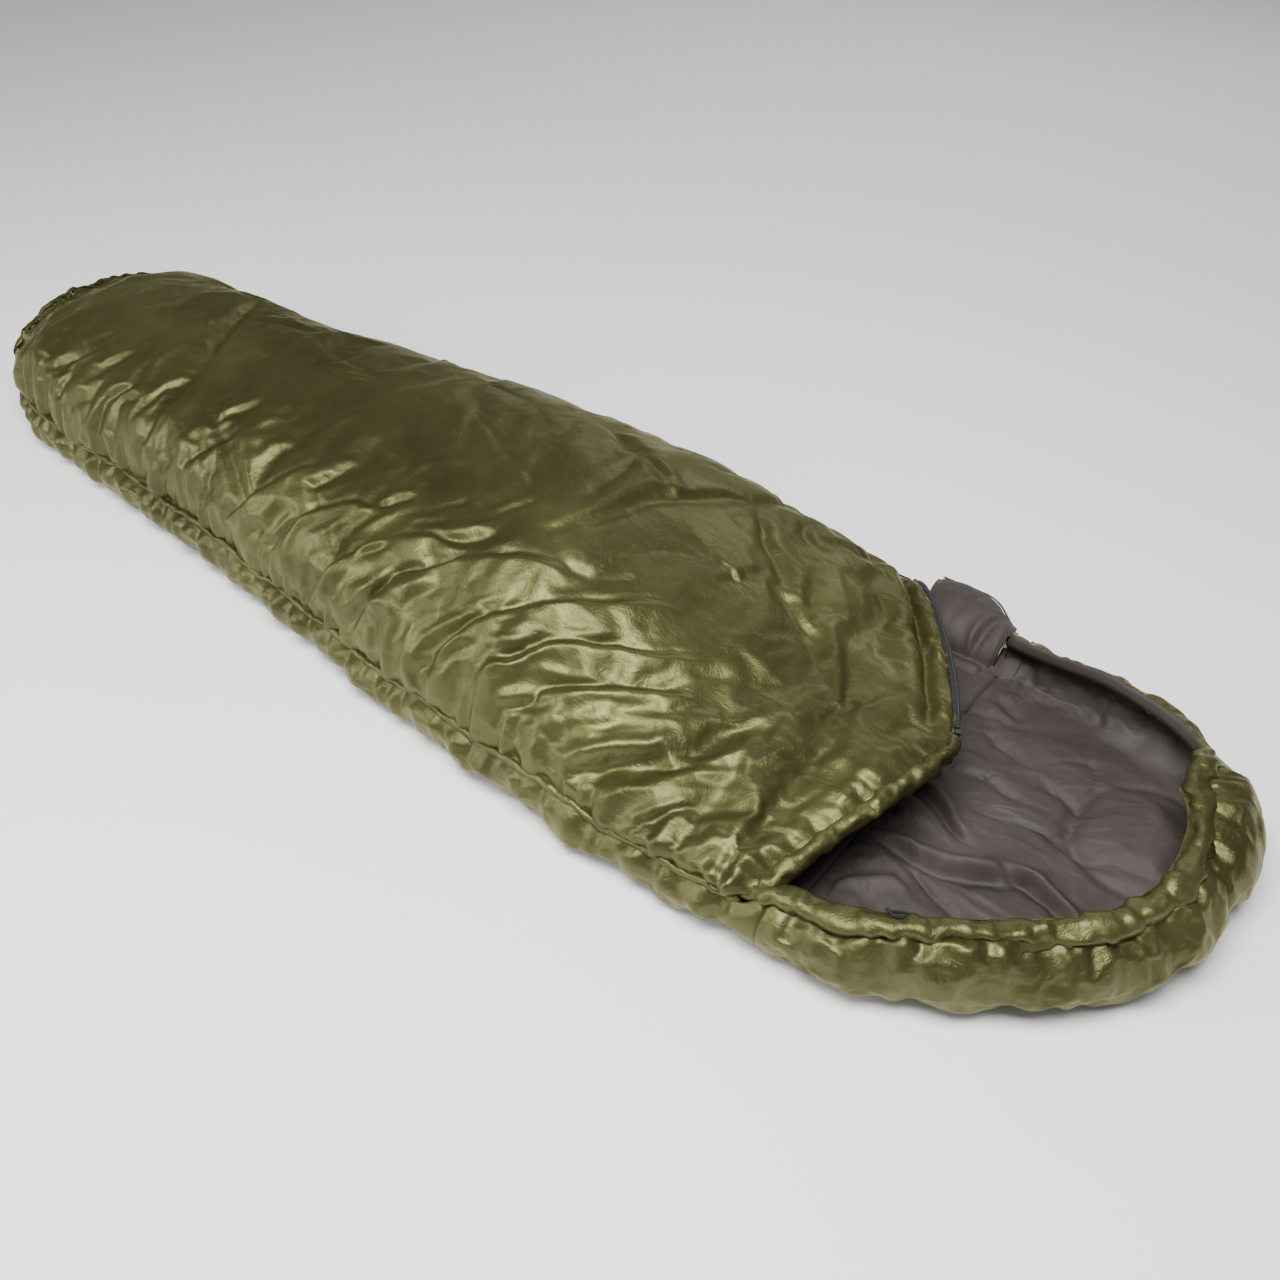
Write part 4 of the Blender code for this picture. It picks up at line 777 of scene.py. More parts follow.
# Folds on the cover, as (start, end, width, height, form, bend); starts and ends are (x, y)
COVER_FOLDS = (
    ((1.32, -0.31), (1.60, -0.06), 0.034, 0.0150, "facet", 0.06),
    ((1.41, -0.31), (1.66, -0.10), 0.030, 0.0160, "facet", 0.06),
    ((1.49, -0.31), (1.70, -0.15), 0.030, 0.0150, "facet", 0.07),
    ((1.57, -0.31), (1.71, -0.22), 0.020, 0.0110, "step", 0.04),
    ((1.18, -0.30), (1.46, -0.12), 0.036, 0.0150, "facet", 0.10),
    ((0.96, -0.29), (1.16, -0.15), 0.030, 0.0120, "facet", 0.08),
    ((1.07, -0.29), (1.30, -0.15), 0.032, 0.0130, "facet", 0.05),
    ((0.85, -0.28), (1.02, -0.14), 0.028, 0.0100, "facet", 0.05),
    ((1.14, -0.29), (1.24, -0.22), 0.014, 0.0070, "step", 0.0),
    ((1.31, -0.30), (1.40, -0.25), 0.012, 0.0060, "step", 0.0),
    ((1.05, 0.08), (1.36, -0.09), 0.016, 0.0070, "crease", 0.05),
    ((1.30, 0.00), (1.46, -0.14), 0.016, 0.0050, "crease", -0.08),
    ((1.36, -0.10), (1.46, 0.18), 0.020, 0.0070, "step", 0.05),
    ((1.40, -0.12), (1.52, 0.00), 0.014, 0.0060, "crease", -0.20),
    ((1.46, -0.10), (1.54, 0.02), 0.012, 0.0050, "crease", 0.20),
    ((0.92, -0.08), (1.16, -0.12), 0.018, 0.0060, "ridge", 0.15),
    ((0.62, 0.10), (0.95, 0.02), 0.020, 0.0060, "crease", 0.05),
    ((0.45, 0.16), (0.62, -0.12), 0.020, 0.0080, "crease", 0.06),
    ((0.70, -0.12), (0.92, -0.24), 0.018, 0.0060, "step", 0.06),
    ((0.60, 0.02), (0.80, -0.14), 0.016, 0.0050, "crease", 0.10),
    ((1.20, 0.22), (1.45, 0.10), 0.018, 0.0050, "step", 0.05),
    ((1.50, 0.22), (1.66, 0.06), 0.018, 0.0060, "step", 0.08),
    ((0.95, 0.20), (1.20, 0.12), 0.018, 0.0050, "crease", 0.05),
    ((1.58, 0.10), (1.78, -0.02), 0.022, 0.0070, "step", 0.10),
)


def make_cover():
    rows, columns = 250, 148
    share = np.linspace(0, 1, rows)
    angle = even_columns(lambda a, b: cover_point(a, b), 1.2, np.linspace(0.0, PI, columns))
    a, b = np.meshgrid(share, angle, indexing="ij")
    points = cover_sheet(a, b)
    normals = grid_normals(points, [0, 0, 1.0])
    x = points[..., 0]
    across = arc_lengths(points, 1)
    middle = across[:, [int(np.argmin(np.abs(angle - PI / 2)))]]
    t = across - middle
    from_near = across
    from_zip = across[:, -1:] - across
    from_foot = arc_lengths(points, 0)
    from_mouth = from_foot[-1:] - from_foot
    xw, tw = wandering(x, t, 0.075, 0.009, 0.022, 0.003, (13, 14, 15, 16))
    table = [(unrolled(*start), unrolled(*end), *rest) for start, end, *rest in COVER_FOLDS]
    lift = folds(xw, tw, table, 1.0, 0.85)
    # Smaller folds that lean the same way on the near side, and lie looser elsewhere
    draw = np.random.RandomState(11)
    for _ in range(120):
        near = draw.rand() < 0.62
        cx = draw.uniform(0.35, 1.72)
        ct = draw.uniform(-0.33, -0.10) if near else draw.uniform(-0.08, 0.33)
        lean = math.radians(draw.uniform(25, 65) if near else draw.uniform(-80, 80))
        half = draw.uniform(0.025, 0.075) * (1.0 if near else 1.2)
        height = draw.uniform(0.0020, 0.0055) * (1.0 if near else 0.65)
        form = ("step", "crease", "ridge")[draw.randint(3)]
        lift += stroke(xw, tw, (cx - half * math.cos(lean), ct - half * math.sin(lean)),
                       (cx + half * math.cos(lean), ct + half * math.sin(lean)),
                       draw.uniform(0.007, 0.015), height, form, draw.uniform(-0.15, 0.15))
    lift += 0.0050 * layered(x / 0.26, t / 0.20, 21, 3)
    # Crumples: sharp-edged facets, drawn out slantwise along the near side and rounder elsewhere
    warp = 0.05 * noise(x / 0.13, t / 0.13, 23)
    slant_u, slant_v = (x + t) / 1.414 + warp, (x - t) / 1.414 + 0.6 * warp
    near_band = smoothstep(from_near / 0.03) * (1 - smoothstep((from_near - 0.16) / 0.12))
    near_band *= 0.35 + 0.65 * smoothstep((x - 0.55) / 0.45)
    lift += 0.0100 * near_band * (creased(slant_u / 0.19, slant_v / 0.070, 24, 3) - 0.45)
    lift += 0.0060 * (1 - near_band) * (creased(x / 0.15 + warp * 6, t / 0.11, 25, 4) - 0.45)
    # Quilting towards each seam, with the puckers that its stitching draws up
    seam_edge = np.minimum(np.minimum(from_near, from_zip), from_foot)
    lift *= smoothstep(seam_edge / 0.020)
    lift -= SEAM_PINCH * bell(seam_edge / 0.012)
    lift -= 0.0045 * bell(from_zip / 0.020) * smoothstep(from_foot / 0.10)
    puckers = noise(x / 0.013, 3.0 + 0 * x, 31) + 0.7 * noise(x / 0.022, t / 0.08, 33)
    lift += 0.0090 * puckers * np.exp(-from_near / 0.045) * smoothstep(from_near / 0.008)
    lift += 0.0035 * puckers * np.exp(-from_zip / 0.035) * smoothstep(from_zip / 0.010)
    ring = noise(t / 0.016, 5.0 + 0 * t, 35) + 0.6 * noise(t / 0.03, x / 0.1, 36)
    lift += 0.0040 * ring * np.exp(-from_foot / 0.05) * smoothstep(from_foot / 0.010)
    # Pleats that run back from the mouth's edge, and the padded strip beside its zip
    side = -np.cos(b)
    pleats = noise(t / 0.017, 9.0 + from_mouth / 0.25, 41) + 0.6 * noise(t / 0.034, from_mouth / 0.2, 42)
    lift += 0.0050 * pleats * np.exp(-from_mouth / 0.075) * smoothstep(from_mouth / 0.010)
    zip_side = smoothstep((side - 0.02) / 0.14)
    lift += zip_side * (0.0030 * bell((from_mouth - 0.014) / 0.010)
                        - 0.0130 * bell((from_mouth - 0.034) / 0.008)
                        + 0.0060 * bell((from_mouth - 0.062) / 0.020))
    neck_side = smoothstep((0.05 - side) / 0.15)
    lift -= neck_side * 0.0060 * bell(from_mouth / 0.010)
    lift += neck_side * 0.0050 * bell((from_mouth - 0.030) / 0.016)
    shaped = points + seam_lift(normals, from_near, from_zip) * lift[..., None]
    shaped[..., 2] += seam_wave(x, from_near)
    cover = sheet("cover_outer", shaped, normals, OLIVE, points)
    edge = np.minimum(np.minimum(from_near, from_zip), np.minimum(from_foot, from_mouth))
    flat_top = smoothstep((from_near - 0.16) / 0.10) * smoothstep((from_zip - 0.05) / 0.08)
    slack = 0.35 + 0.65 * np.clip(1 - flat_top + 0.7 * np.exp(-from_mouth / 0.12), 0, 1)
    slack *= 0.75 + 0.25 * noise(x / 0.16, t / 0.16, 27)
    held = np.maximum(1 - smoothstep(edge / 0.022), 1 - smoothstep((from_zip - 0.015) / 0.03))
    settle(cover, held.ravel(), 0.058, 0.9, 0.016, 20, 0.8, slack.ravel())
    settled = places_of(cover)
    over_top = np.maximum(settled[:, 2] - COVER_CEILING, 0)
    settled[:, 2] = np.minimum(settled[:, 2], COVER_CEILING) + CEILING_GIVE * np.tanh(over_top / CEILING_GIVE)
    cover.data.vertices.foreach_set("co", settled.ravel())
    settled = settled.reshape(rows, columns, 3) - SHIFT
    refine(cover)
    thicken(cover, SHELL_CLOTH)
    piece(cover, "bag", "olive_shell", "cover_shell", "cover_fill", fill=0.35)
    inner_lift = 0.0030 * layered(x / 0.12, t / 0.10, 51, 4)
    inner = settled - normals * (LINING_DEPTH + inner_lift * smoothstep(edge / 0.05))[..., None]
    skin = bind("cover_mouth_binding", shaped[-1], inner[-1], [0.6, 0.0, -0.3], OLIVE_TRIM)
    piece(skin, "bag", "olive_trim")
    lining = sheet("cover_inner", inner[::2, ::2], -normals[::2, ::2], TAUPE)
    thicken(lining, LINING_CLOTH)
    piece(lining, "bag", "taupe_lining", "cover_lining", fill=0.2)


# ---------------------------------------------------------------- base


def wall_puckers(x, t, seed):
    return noise(x / 0.014, 2.0 + t / 0.12, seed) + 0.7 * noise(x / 0.026, t / 0.06, seed + 1)


LINING_CREASES = (
    ((1.90, 0.16), (1.99, 0.14), 0.008, 0.0060, "crease", 0.05),
    ((1.99, 0.14), (2.11, 0.12), 0.008, 0.0060, "crease", -0.10),
    ((1.99, 0.14), (2.08, 0.12), 0.007, 0.0040, "crease", 0.75),
    ((2.08, 0.12), (2.05, 0.03), 0.007, 0.0035, "crease", 0.15),
    ((1.92, 0.08), (2.02, 0.07), 0.008, 0.0055, "crease", 0.10),
    ((1.93, -0.10), (2.06, -0.17), 0.009, 0.0060, "crease", 0.12),
    ((1.87, -0.08), (2.08, -0.03), 0.018, 0.0075, "step", -0.05),
    ((2.02, -0.03), (2.15, -0.06), 0.014, 0.0070, "step", 0.05),
    ((1.97, 0.03), (2.17, 0.04), 0.009, 0.0055, "crease", 0.06),
    ((2.07, 0.06), (2.22, 0.06), 0.008, 0.0050, "crease", -0.05),
    ((1.85, 0.02), (2.00, -0.02), 0.014, 0.0050, "step", 0.08),
    ((1.88, 0.23), (1.96, 0.21), 0.008, 0.0050, "crease", 0.05),
    ((1.80, 0.20), (1.92, 0.19), 0.008, 0.0050, "crease", 0.05),
    ((1.95, -0.22), (2.06, -0.26), 0.010, 0.0045, "crease", 0.05),
    ((2.10, -0.12), (2.20, -0.02), 0.010, 0.0050, "crease", 0.10),
    ((1.90, -0.20), (1.98, -0.13), 0.014, 0.0040, "ridge", 0.20),
)


def lining_lift(x, y):
    """Wrinkles of the lining's floor in the open hood: seams, creases and the head end's padding."""
    xw, yw = wandering(x, y, 0.06, 0.008, 0.02, 0.003, (62, 66, 63, 67))
    lift = folds(xw, yw, LINING_CREASES, 0.85, 1.6)
    lift += (0.0050 * (creased(xw / 0.16, yw / 0.12, 64, 3) - 0.45)
             + 0.0035 * layered(x / 0.13, y / 0.10, 61, 4))
    ring = np.sqrt(((x - 2.155) / 0.085) ** 2 + ((y - 0.115) / 0.085) ** 2)
    lift += 0.0160 * (1 - smoothstep((ring - 0.35) / 0.75)) - 0.0050 * bell((ring - 1.05) / 0.10)
    return lift


def make_base():
    rows = 200
    place = np.concatenate([np.linspace(0, 1, 24)[:-1], np.linspace(1, 2, 34)[:-1], np.linspace(2, 3, 24)])
    x_line = np.linspace(FOOT_SEAM, HOOD_JOIN, rows)
    x, p = np.meshgrid(x_line, place, indexing="ij")
    points = base_point(x, p)
    middle = np.stack([x, middle_line(x), 0 * x + FOOT_POLE_HEIGHT], axis=-1)
    normals = grid_normals(points, points - middle)
    t = arc_lengths(points, 1)
    from_near, from_far = t, t[:, -1:] - t
    from_foot = x - FOOT_SEAM
    wall = smoothstep((points[..., 2] - 0.004) / 0.02)
    closed = smoothstep((ZIP_TOP - x) / 0.03)
    seam_edge = np.minimum(from_near, from_foot + 0.1 * (1 - wall))
    seam_edge = np.minimum(seam_edge, from_far + 0.1 * (1 - closed))
    lift = -SEAM_PINCH * bell(seam_edge / 0.012)
    for away, height, reach, seam, seed in ((from_near, 0.0090, 0.070, 0.008, 71),
                                            (from_far, 0.0030, 0.050, 0.010, 73)):
        lift += height * wall_puckers(x, t, seed) * np.exp(-away / reach) * smoothstep(away / seam) * wall
    lift += 0.0040 * layered(x / 0.09, t / 0.06, 75, 3) * wall * smoothstep(seam_edge / 0.02)
    crumples = creased((x + t) / 0.10, (x - t) / 0.06, 76, 3) - 0.45
    lift += 0.0060 * crumples * wall * smoothstep(seam_edge / 0.02)
    lift *= smoothstep((HOOD_JOIN - x) / 0.05)
    outer = points + seam_lift(normals, from_near, from_far + 0.1 * (1 - closed)) * lift[..., None]
    outer[..., 2] += seam_wave(x, from_near)
    base = sheet("base_outer", outer, normals, OLIVE_SIDE, points)
    ends = np.minimum(seam_edge, np.minimum(HOOD_JOIN - x, t[:, -1:] - t))
    held = np.maximum(1 - smoothstep(ends / 0.015), 1 - smoothstep((points[..., 2] - 0.002) / 0.008))
    settle(base, held.ravel(), 0.06, 1.0, 0.011, 16, 0.1)
    refine(base)
    keep_off_floor(base)
    thicken(base, SHELL_CLOTH)
    piece(base, "bag", "olive_shell", "base_shell", "base_fill", fill=0.35)
    inner = points - normals * LINING_DEPTH
    on_floor = smoothstep((p - 0.95) / 0.1) * smoothstep((2.05 - p) / 0.1)
    inner[..., 2] += on_floor * lining_lift(inner[..., 0], inner[..., 1]) * smoothstep((x - 1.3) / 0.3)
    past = int(np.searchsorted(x_line, ZIP_TOP + 0.004))
    side = bind("base_side_binding", outer[past:, -1], inner[past:, -1], [0.0, 1.0, 0.0], TAUPE, 0.010)
    piece(side, "bag", "taupe_lining")
    lining = sheet("base_inner", inner, -normals, TAUPE)
    thicken(lining, LINING_CLOTH)
    piece(lining, "bag", "taupe_lining", "base_lining", fill=0.2)


def make_foot():
    """Domed end panel: rings of the bag's section from the seam to the pole."""
    rings, columns = 40, 190
    limit = math.acos(1.0 - FOOT_SEAM / FOOT_ROUND)
    turn = np.linspace(limit, 0.012, rings)
    half = columns // 2
    cover_turns = np.linspace(0.0, PI, half, endpoint=False)
    base_turns = np.linspace(3.0, 0.0, columns - half, endpoint=False)
    rows = []
    for angle in turn:
        x = FOOT_ROUND * (1.0 - math.cos(angle))
        rows.append(np.vstack([cover_point(x + 0 * cover_turns, cover_turns),
                               base_point(x + 0 * base_turns, base_turns)]))
    points = np.array(rows)
    points = np.concatenate([points, points[:, :1]], axis=1)
    middle = np.array([FOOT_ROUND, FOOT_LEAN, FOOT_POLE_HEIGHT])
    normals = grid_normals(points, points - middle)
    normals[:, -1] = normals[:, 0] = unit(normals[:, 0] + normals[:, -1])
    inward = arc_lengths(points, 0)
    around = np.arange(points.shape[1]) / columns * math.tau + 0 * inward
    lift = -SEAM_PINCH * bell(inward / 0.012)
    pleat = sum(math.cos(k) * np.sin(around * n + 2 * k) for k, n in enumerate((23, 31, 41, 17, 53)))
    lift += 0.0022 * pleat * np.exp(-inward / 0.05) * smoothstep(inward / 0.010)
    loose = layered(2.2 * np.cos(around) + inward * 12, 2.2 * np.sin(around) + 9, 81, 3)
    loose += 1.2 * (creased(3.0 * np.cos(around) + inward * 14, 3.0 * np.sin(around) + 9, 83, 3) - 0.45)
    lift += 0.0050 * loose * smoothstep(inward / 0.02)
    lift *= smoothstep((points[..., 2] - 0.002) / 0.03)
    foot = sheet("foot_outer", points + normals * lift[..., None], normals, OLIVE_SIDE, points)
    close_ring(foot)
    at = places_of(foot) - SHIFT
    held = np.maximum(smoothstep((at[:, 0] - FOOT_SEAM + 0.022) / 0.018),
                      1 - smoothstep((at[:, 2] - 0.002) / 0.01))
    settle(foot, held, 0.06, 1.2, 0.012, 16, 0.1)
    refine(foot)
    thicken(foot, SHELL_CLOTH)
    piece(foot, "bag", "olive_shell", "foot_shell", "foot_fill", fill=0.35)
    inner = (points - normals * LINING_DEPTH)[::2, ::2]
    lining = sheet("foot_inner", inner, -normals[::2, ::2], TAUPE)
    close_ring(lining)
    thicken(lining, LINING_CLOTH)
    piece(lining, "bag", "taupe_lining", "foot_lining", fill=0.2)


def close_ring(obj):
    """Weld the grid's first and last columns and close its small end ring."""
    work = bmesh.new()
    work.from_mesh(obj.data)
    bmesh.ops.remove_doubles(work, verts=work.verts, dist=0.0001)
    open_edges = [edge for edge in work.edges if edge.is_boundary]
    small = [edge for edge in open_edges if edge.calc_length() < 0.0022]
    if small:
        bmesh.ops.contextual_create(work, geom=small)
    bmesh.ops.recalc_face_normals(work, faces=work.faces)
    for face in work.faces:
        face.smooth = True
    work.to_mesh(obj.data)
    work.free()


# ---------------------------------------------------------------- hood


def hood_surface(turns, places):
    """The hood's grid: places, points and outward normals, straight down under the floor."""
    t, p = np.meshgrid(turns, places, indexing="ij")
    points = hood_point(t, p)
    normals = unit(np.cross(np.gradient(points, axis=0), np.gradient(points, axis=1)))
    if normals[len(turns) // 2, int(np.argmax(places > 1.3)), 0] < 0:
        normals = -normals
    return p, points, np.where((p <= 1.0)[..., None], np.array([0.0, 0.0, -1.0]), normals)


def make_hood():
    turns = np.linspace(-PI / 2, PI / 2, 190)
    floor_columns = 45
    places = np.concatenate([np.linspace(0.02, 1.0, floor_columns + 1)[:-1], np.linspace(1.0, 2.0, 40)])
    p, points, normals = hood_surface(turns, places)
    run = arc_lengths(points[:, floor_columns:], 0)[:, :1] + 0 * p
    height = np.clip(p - 1.0, 0.0, 1.0)
    from_rim = (1 - height) * 0.14
    lift = 0.0060 * np.exp(-from_rim / 0.05) * smoothstep(from_rim / 0.012) * (
        noise(run / 0.017, 4.0 + height, 91) + 0.7 * noise(run / 0.034, height * 2, 92))
    lift += 0.0045 * layered(run / 0.085, height * 2.2, 93, 3)
    lift += 0.0050 * np.sin(PI * np.clip(height, 0, 1)) - 0.0020 * bell(from_rim / 0.010)
    lift += 0.0060 * (creased(run / 0.07, height * 1.6, 97, 3) - 0.45) * smoothstep(from_rim / 0.02)
    lift *= smoothstep((points[..., 2] - 0.003) / 0.02) * smoothstep(np.minimum(run, run.max() - run) / 0.05)
    shaped = points + normals * lift[..., None]
    outer = sheet("hood_outer", shaped, normals, OLIVE_SIDE, points)
    ends = np.minimum(np.minimum(run, run.max() - run), from_rim)
    held = np.maximum(1 - smoothstep(ends / 0.015), 1 - smoothstep((points[..., 2] - 0.002) / 0.008))
    settle(outer, held.ravel(), 0.07, 1.0, 0.011, 16, 0.1)
    refine(outer)
    keep_off_floor(outer)
    thicken(outer, SHELL_CLOTH)
    piece(outer, "bag", "olive_shell", "hood_shell", "hood_fill", fill=0.4)
    inner = points - normals * LINING_DEPTH
    floor_share = 1 - smoothstep((p - 0.85) / 0.3)
    inner[..., 2] += floor_share * lining_lift(inner[..., 0], inner[..., 1])
    wall_folds = 0.0050 * (noise(run / 0.045, height * 1.5, 95) + 0.6 * noise(run / 0.02, height, 96))
    inner -= normals * (wall_folds * smoothstep((p - 1.0) / 0.3) * smoothstep((2.0 - p) / 0.1))[..., None]
    far = smoothstep((np.linspace(0, 1, len(shaped)) - 0.62) / 0.12)[:, None]
    over = bind("hood_rim_facing", shaped[:, -1], inner[:, -1], [0.0, 0.0, 1.0], TAUPE,
                0.0025 + 0.0065 * far)
    piece(over, "bag", "taupe_lining")
    for row, end in ((0, "near"), (-1, "far")):
        joined = bind(f"hood_{end}_end", shaped[row, floor_columns:], inner[row, floor_columns:],
                      [-1.0, 0.0, 0.0], OLIVE_TRIM, 0.006)
        piece(joined, "bag", "olive_trim")
    make_facing()
    lining = sheet("hood_inner", inner, -normals, TAUPE)
    ends = np.minimum(np.minimum(run, run.max() - run), np.minimum(from_rim, p * 0.2))
    settle(lining, (1 - smoothstep(ends / 0.03)).ravel(), 0.05, 0.0, 0.008, 16, 0.1)
    refine(lining)
    thicken(lining, LINING_CLOTH)
    piece(lining, "bag", "taupe_lining", "hood_lining", fill=0.25)


def make_facing():
    """Shell cloth turned over inside the rim at the head's near corner, with a ragged gathered lower edge."""
    turns, share = np.linspace(-1.05, 0.42, 90), np.linspace(0.0, 1.0, 18)
    t, part = np.meshgrid(turns, share, indexing="ij")
    depth = 0.12 + 0.42 * bell((t + 0.16) / 0.34) + 0.05 * noise(t / 0.09, 0 * t + 1.5, 161)
    points = hood_point(t, 2.0 - depth * part)
    _, _, out_x, out_y = hood_frame(t)
    inward = -np.stack([out_x, out_y, 0 * out_x], axis=-1)
    folds = 0.0035 * noise(t / 0.035, part * 1.5, 162) + 0.0030 * noise(t / 0.075, part, 163)
    fade = smoothstep(part / 0.15)
    points = points + inward * (PANEL_DEPTH + 0.0035 * fade + folds * fade)[..., None]
    facing = sheet("hood_facing", points, inward, OLIVE_TRIM)
    refine(facing)
    thicken(facing, LINING_CLOTH)
    piece(facing, "bag", "olive_trim")


def rim_path(shares, out, up):
    """Points beside the hood's rim; shares run from 0 at its near end to 1 at its far end."""
    turns = -PI / 2 + PI * np.asarray(shares)
    edge = hood_point(turns, 2.0 + 0.0 * turns)
    _, _, out_x, out_y = hood_frame(turns)
    outward = unit(np.stack([out_x, out_y, 0.0 * out_x], axis=-1))
    return edge + outward * out + np.array([0.0, 0.0, 1.0]) * up


def make_rim():
    edge = rim_path(np.linspace(0, 1, 400), -0.001, -0.001)
    lead = edge[:1] + np.linspace(1, 0, 12)[:-1, None] * np.array([-0.060, -0.002, -0.022])
    path = resample(np.concatenate([lead, edge]), 0.0035)
    share = np.linspace(0, 1, len(path))
    far = smoothstep((share - 0.66) / 0.10)[:, None]
    outs, ups = path_frames(path)
    path = path + far * (outs * 0.004 - np.array([0.0, 0.0, 0.010]))
    length = length_of(path)

    def gathers(run, around):
        size = (1.0 + 0.22 * noise(run / 0.012 + 0.8 * np.sin(around), around * 0.7, 101)
                + 0.26 * noise(run / 0.030, around, 102) + 0.22 * noise(run / 0.09, around * 0.5, 103))
        return size * (1 - 0.62 * smoothstep((run / length - 0.66) / 0.1))

    rim = tube("hood_rim", path, outs, ups, 0.0160, OLIVE_TRIM, 24, 0.80, gathers)
    piece(rim, "bag", "olive_trim", "hood_channel", fill=0.5)
    inside = tube("hood_cord_inside", path[8:-8], outs[8:-8], ups[8:-8], 0.0020, CORD, 8)
    piece(inside, "bag", "black_webbing", "hood_drawcord")


# ---------------------------------------------------------------- cover edges


def mouth_path(side_from, side_to, count, out, up):
    angle = np.arccos(np.clip(-np.linspace(side_from, side_to, count), -1.0, 1.0))
    step, one = 1e-4, 1.0 + 0.0 * angle
    edge = cover_sheet(one, angle)
    run = unit(cover_sheet(one, np.minimum(angle + step, PI)) - cover_sheet(one, np.maximum(angle - step, 0)))
    forward = cover_sheet(one + step, angle) - cover_sheet(one - step, angle)
    normal = unit(np.cross(run, forward))
    normal = np.where(normal[:, 2:] < 0, -normal, normal)
    outward = unit(np.cross(normal, run))
    outward = np.where(np.einsum("ij,ij->i", outward, forward)[:, None] < 0, -outward, outward)
    return edge + outward * out + normal * up, outward, normal


def gathered(seed, amount):
    return lambda run, around: (1.0 + amount * noise(run / 0.012, around * 0.8, seed)
                                + 0.7 * amount * noise(run / 0.027, around, seed + 1))


def make_edges():
    path, out, up = mouth_path(-0.96, 0.09, 140, 0.0030, -0.0085)
    hem = tube("neck_hem_roll", path, out, up, 0.0115, OLIVE_TRIM, 18, 1.0, gathered(111, 0.30))
    piece(hem, "bag", "olive_trim", "neck_hem", fill=0.4)
    path, out, up = mouth_path(0.97, 0.05, 150, 0.0000, -0.0130)
    roll = tube("zip_edge_padding", path, out, up, 0.0105, OLIVE_TRIM, 18, 1.0, gathered(113, 0.25))
    piece(roll, "bag", "olive_trim", "zip_edge_roll", fill=0.4)
    path, out, up = mouth_path(0.985, 0.10, 200, 0.0, -0.0012)
    tape = [(0.0, -0.0006), (0.0060, -0.0006), (0.0060, 0.0006), (0.0, 0.0006)]
    piece(strip("cover_tape", path, out, up, tape, WEBBING), "bag", "black_webbing", "cover_zip_tape")
    piece(teeth("cover_teeth", path, out, up, 0.0032, 0.0042, 0.0030, 0.0078, COIL), "bag", "black_coil",
          "cover_zip_coil")


def make_zip():
    x = np.concatenate([np.linspace(ZIP_BOTTOM, ZIP_STRAIGHT_FROM, 60),
                        np.linspace(ZIP_STRAIGHT_FROM + 0.01, ZIP_TOP - 0.002, 30)])
    path = np.stack([x, middle_line(x) + zip_width(x) - SEAM_INSET, SEAM_HEIGHT + 0 * x], axis=-1)
    tangent = unit(np.gradient(path, axis=0))
    up = np.tile([0.0, 0.0, 1.0], (len(path), 1))
    out = -unit(np.cross(tangent, up))
    for name, sign in (("upper", 1.0), ("lower", -1.0)):
        edge = sorted((sign * 0.0023, sign * 0.0113))
        tape = [(-0.0016, edge[0]), (-0.0004, edge[0]), (-0.0004, edge[1]), (-0.0016, edge[1])]
        piece(strip(f"tape_{name}", path, out, up, tape, WEBBING), "bag", "black_webbing", f"zip_tape_{name}")
        row = path + up * sign * 0.0023
        piece(teeth(f"teeth_{name}", row, out, up, 0.0026, 0.0026, 0.0030, 0.0013, COIL), "bag", "black_coil",
              f"zip_coil_{name}")


def make_draught_tube():
    x = np.linspace(ZIP_BOTTOM + 0.03, ZIP_TOP - 0.03, 220)
    y = zip_width(x) - SEAM_INSET - PANEL_DEPTH - 0.0110 - 0.008
    path = np.stack([x, middle_line(x) + y, SEAM_HEIGHT + 0 * x], axis=-1)
    outs, ups = path_frames(path)
    roll = tube("draught_roll", path, outs, ups, 0.0108, OLIVE_TRIM, 14, 1.0, gathered(117, 0.15))
    piece(roll, "bag", "olive_trim", "draught_tube", fill=0.5)


def make_side_seam():
    x = np.linspace(FOOT_SEAM + 0.005, ZIP_TOP + 0.14, 420)
    closeness = np.clip(1.0 - x / FOOT_ROUND, 0.0, 1.0)
    scale = np.sqrt(1.0 - closeness**2)
    y = middle_line(x) - (near_width(x) - SEAM_INSET) * scale
    z = FOOT_POLE_HEIGHT + (SEAM_HEIGHT - FOOT_POLE_HEIGHT) * scale
    path = np.stack([x, y + 0.0075, z + seam_wave(x, 0 * x)], axis=-1)
    outs, ups = path_frames(path)
    seam = tube("side_seam_cord", path, outs, ups, 0.0050, OLIVE_TRIM, 10, 1.0, gathered(119, 0.35))
    piece(seam, "bag", "olive_trim", "side_seam_piping")


# ---------------------------------------------------------------- flap


# The flap's grid starts inside the bag; its shell starts this many columns further out
FLAP_ROOT_COLUMNS = 18


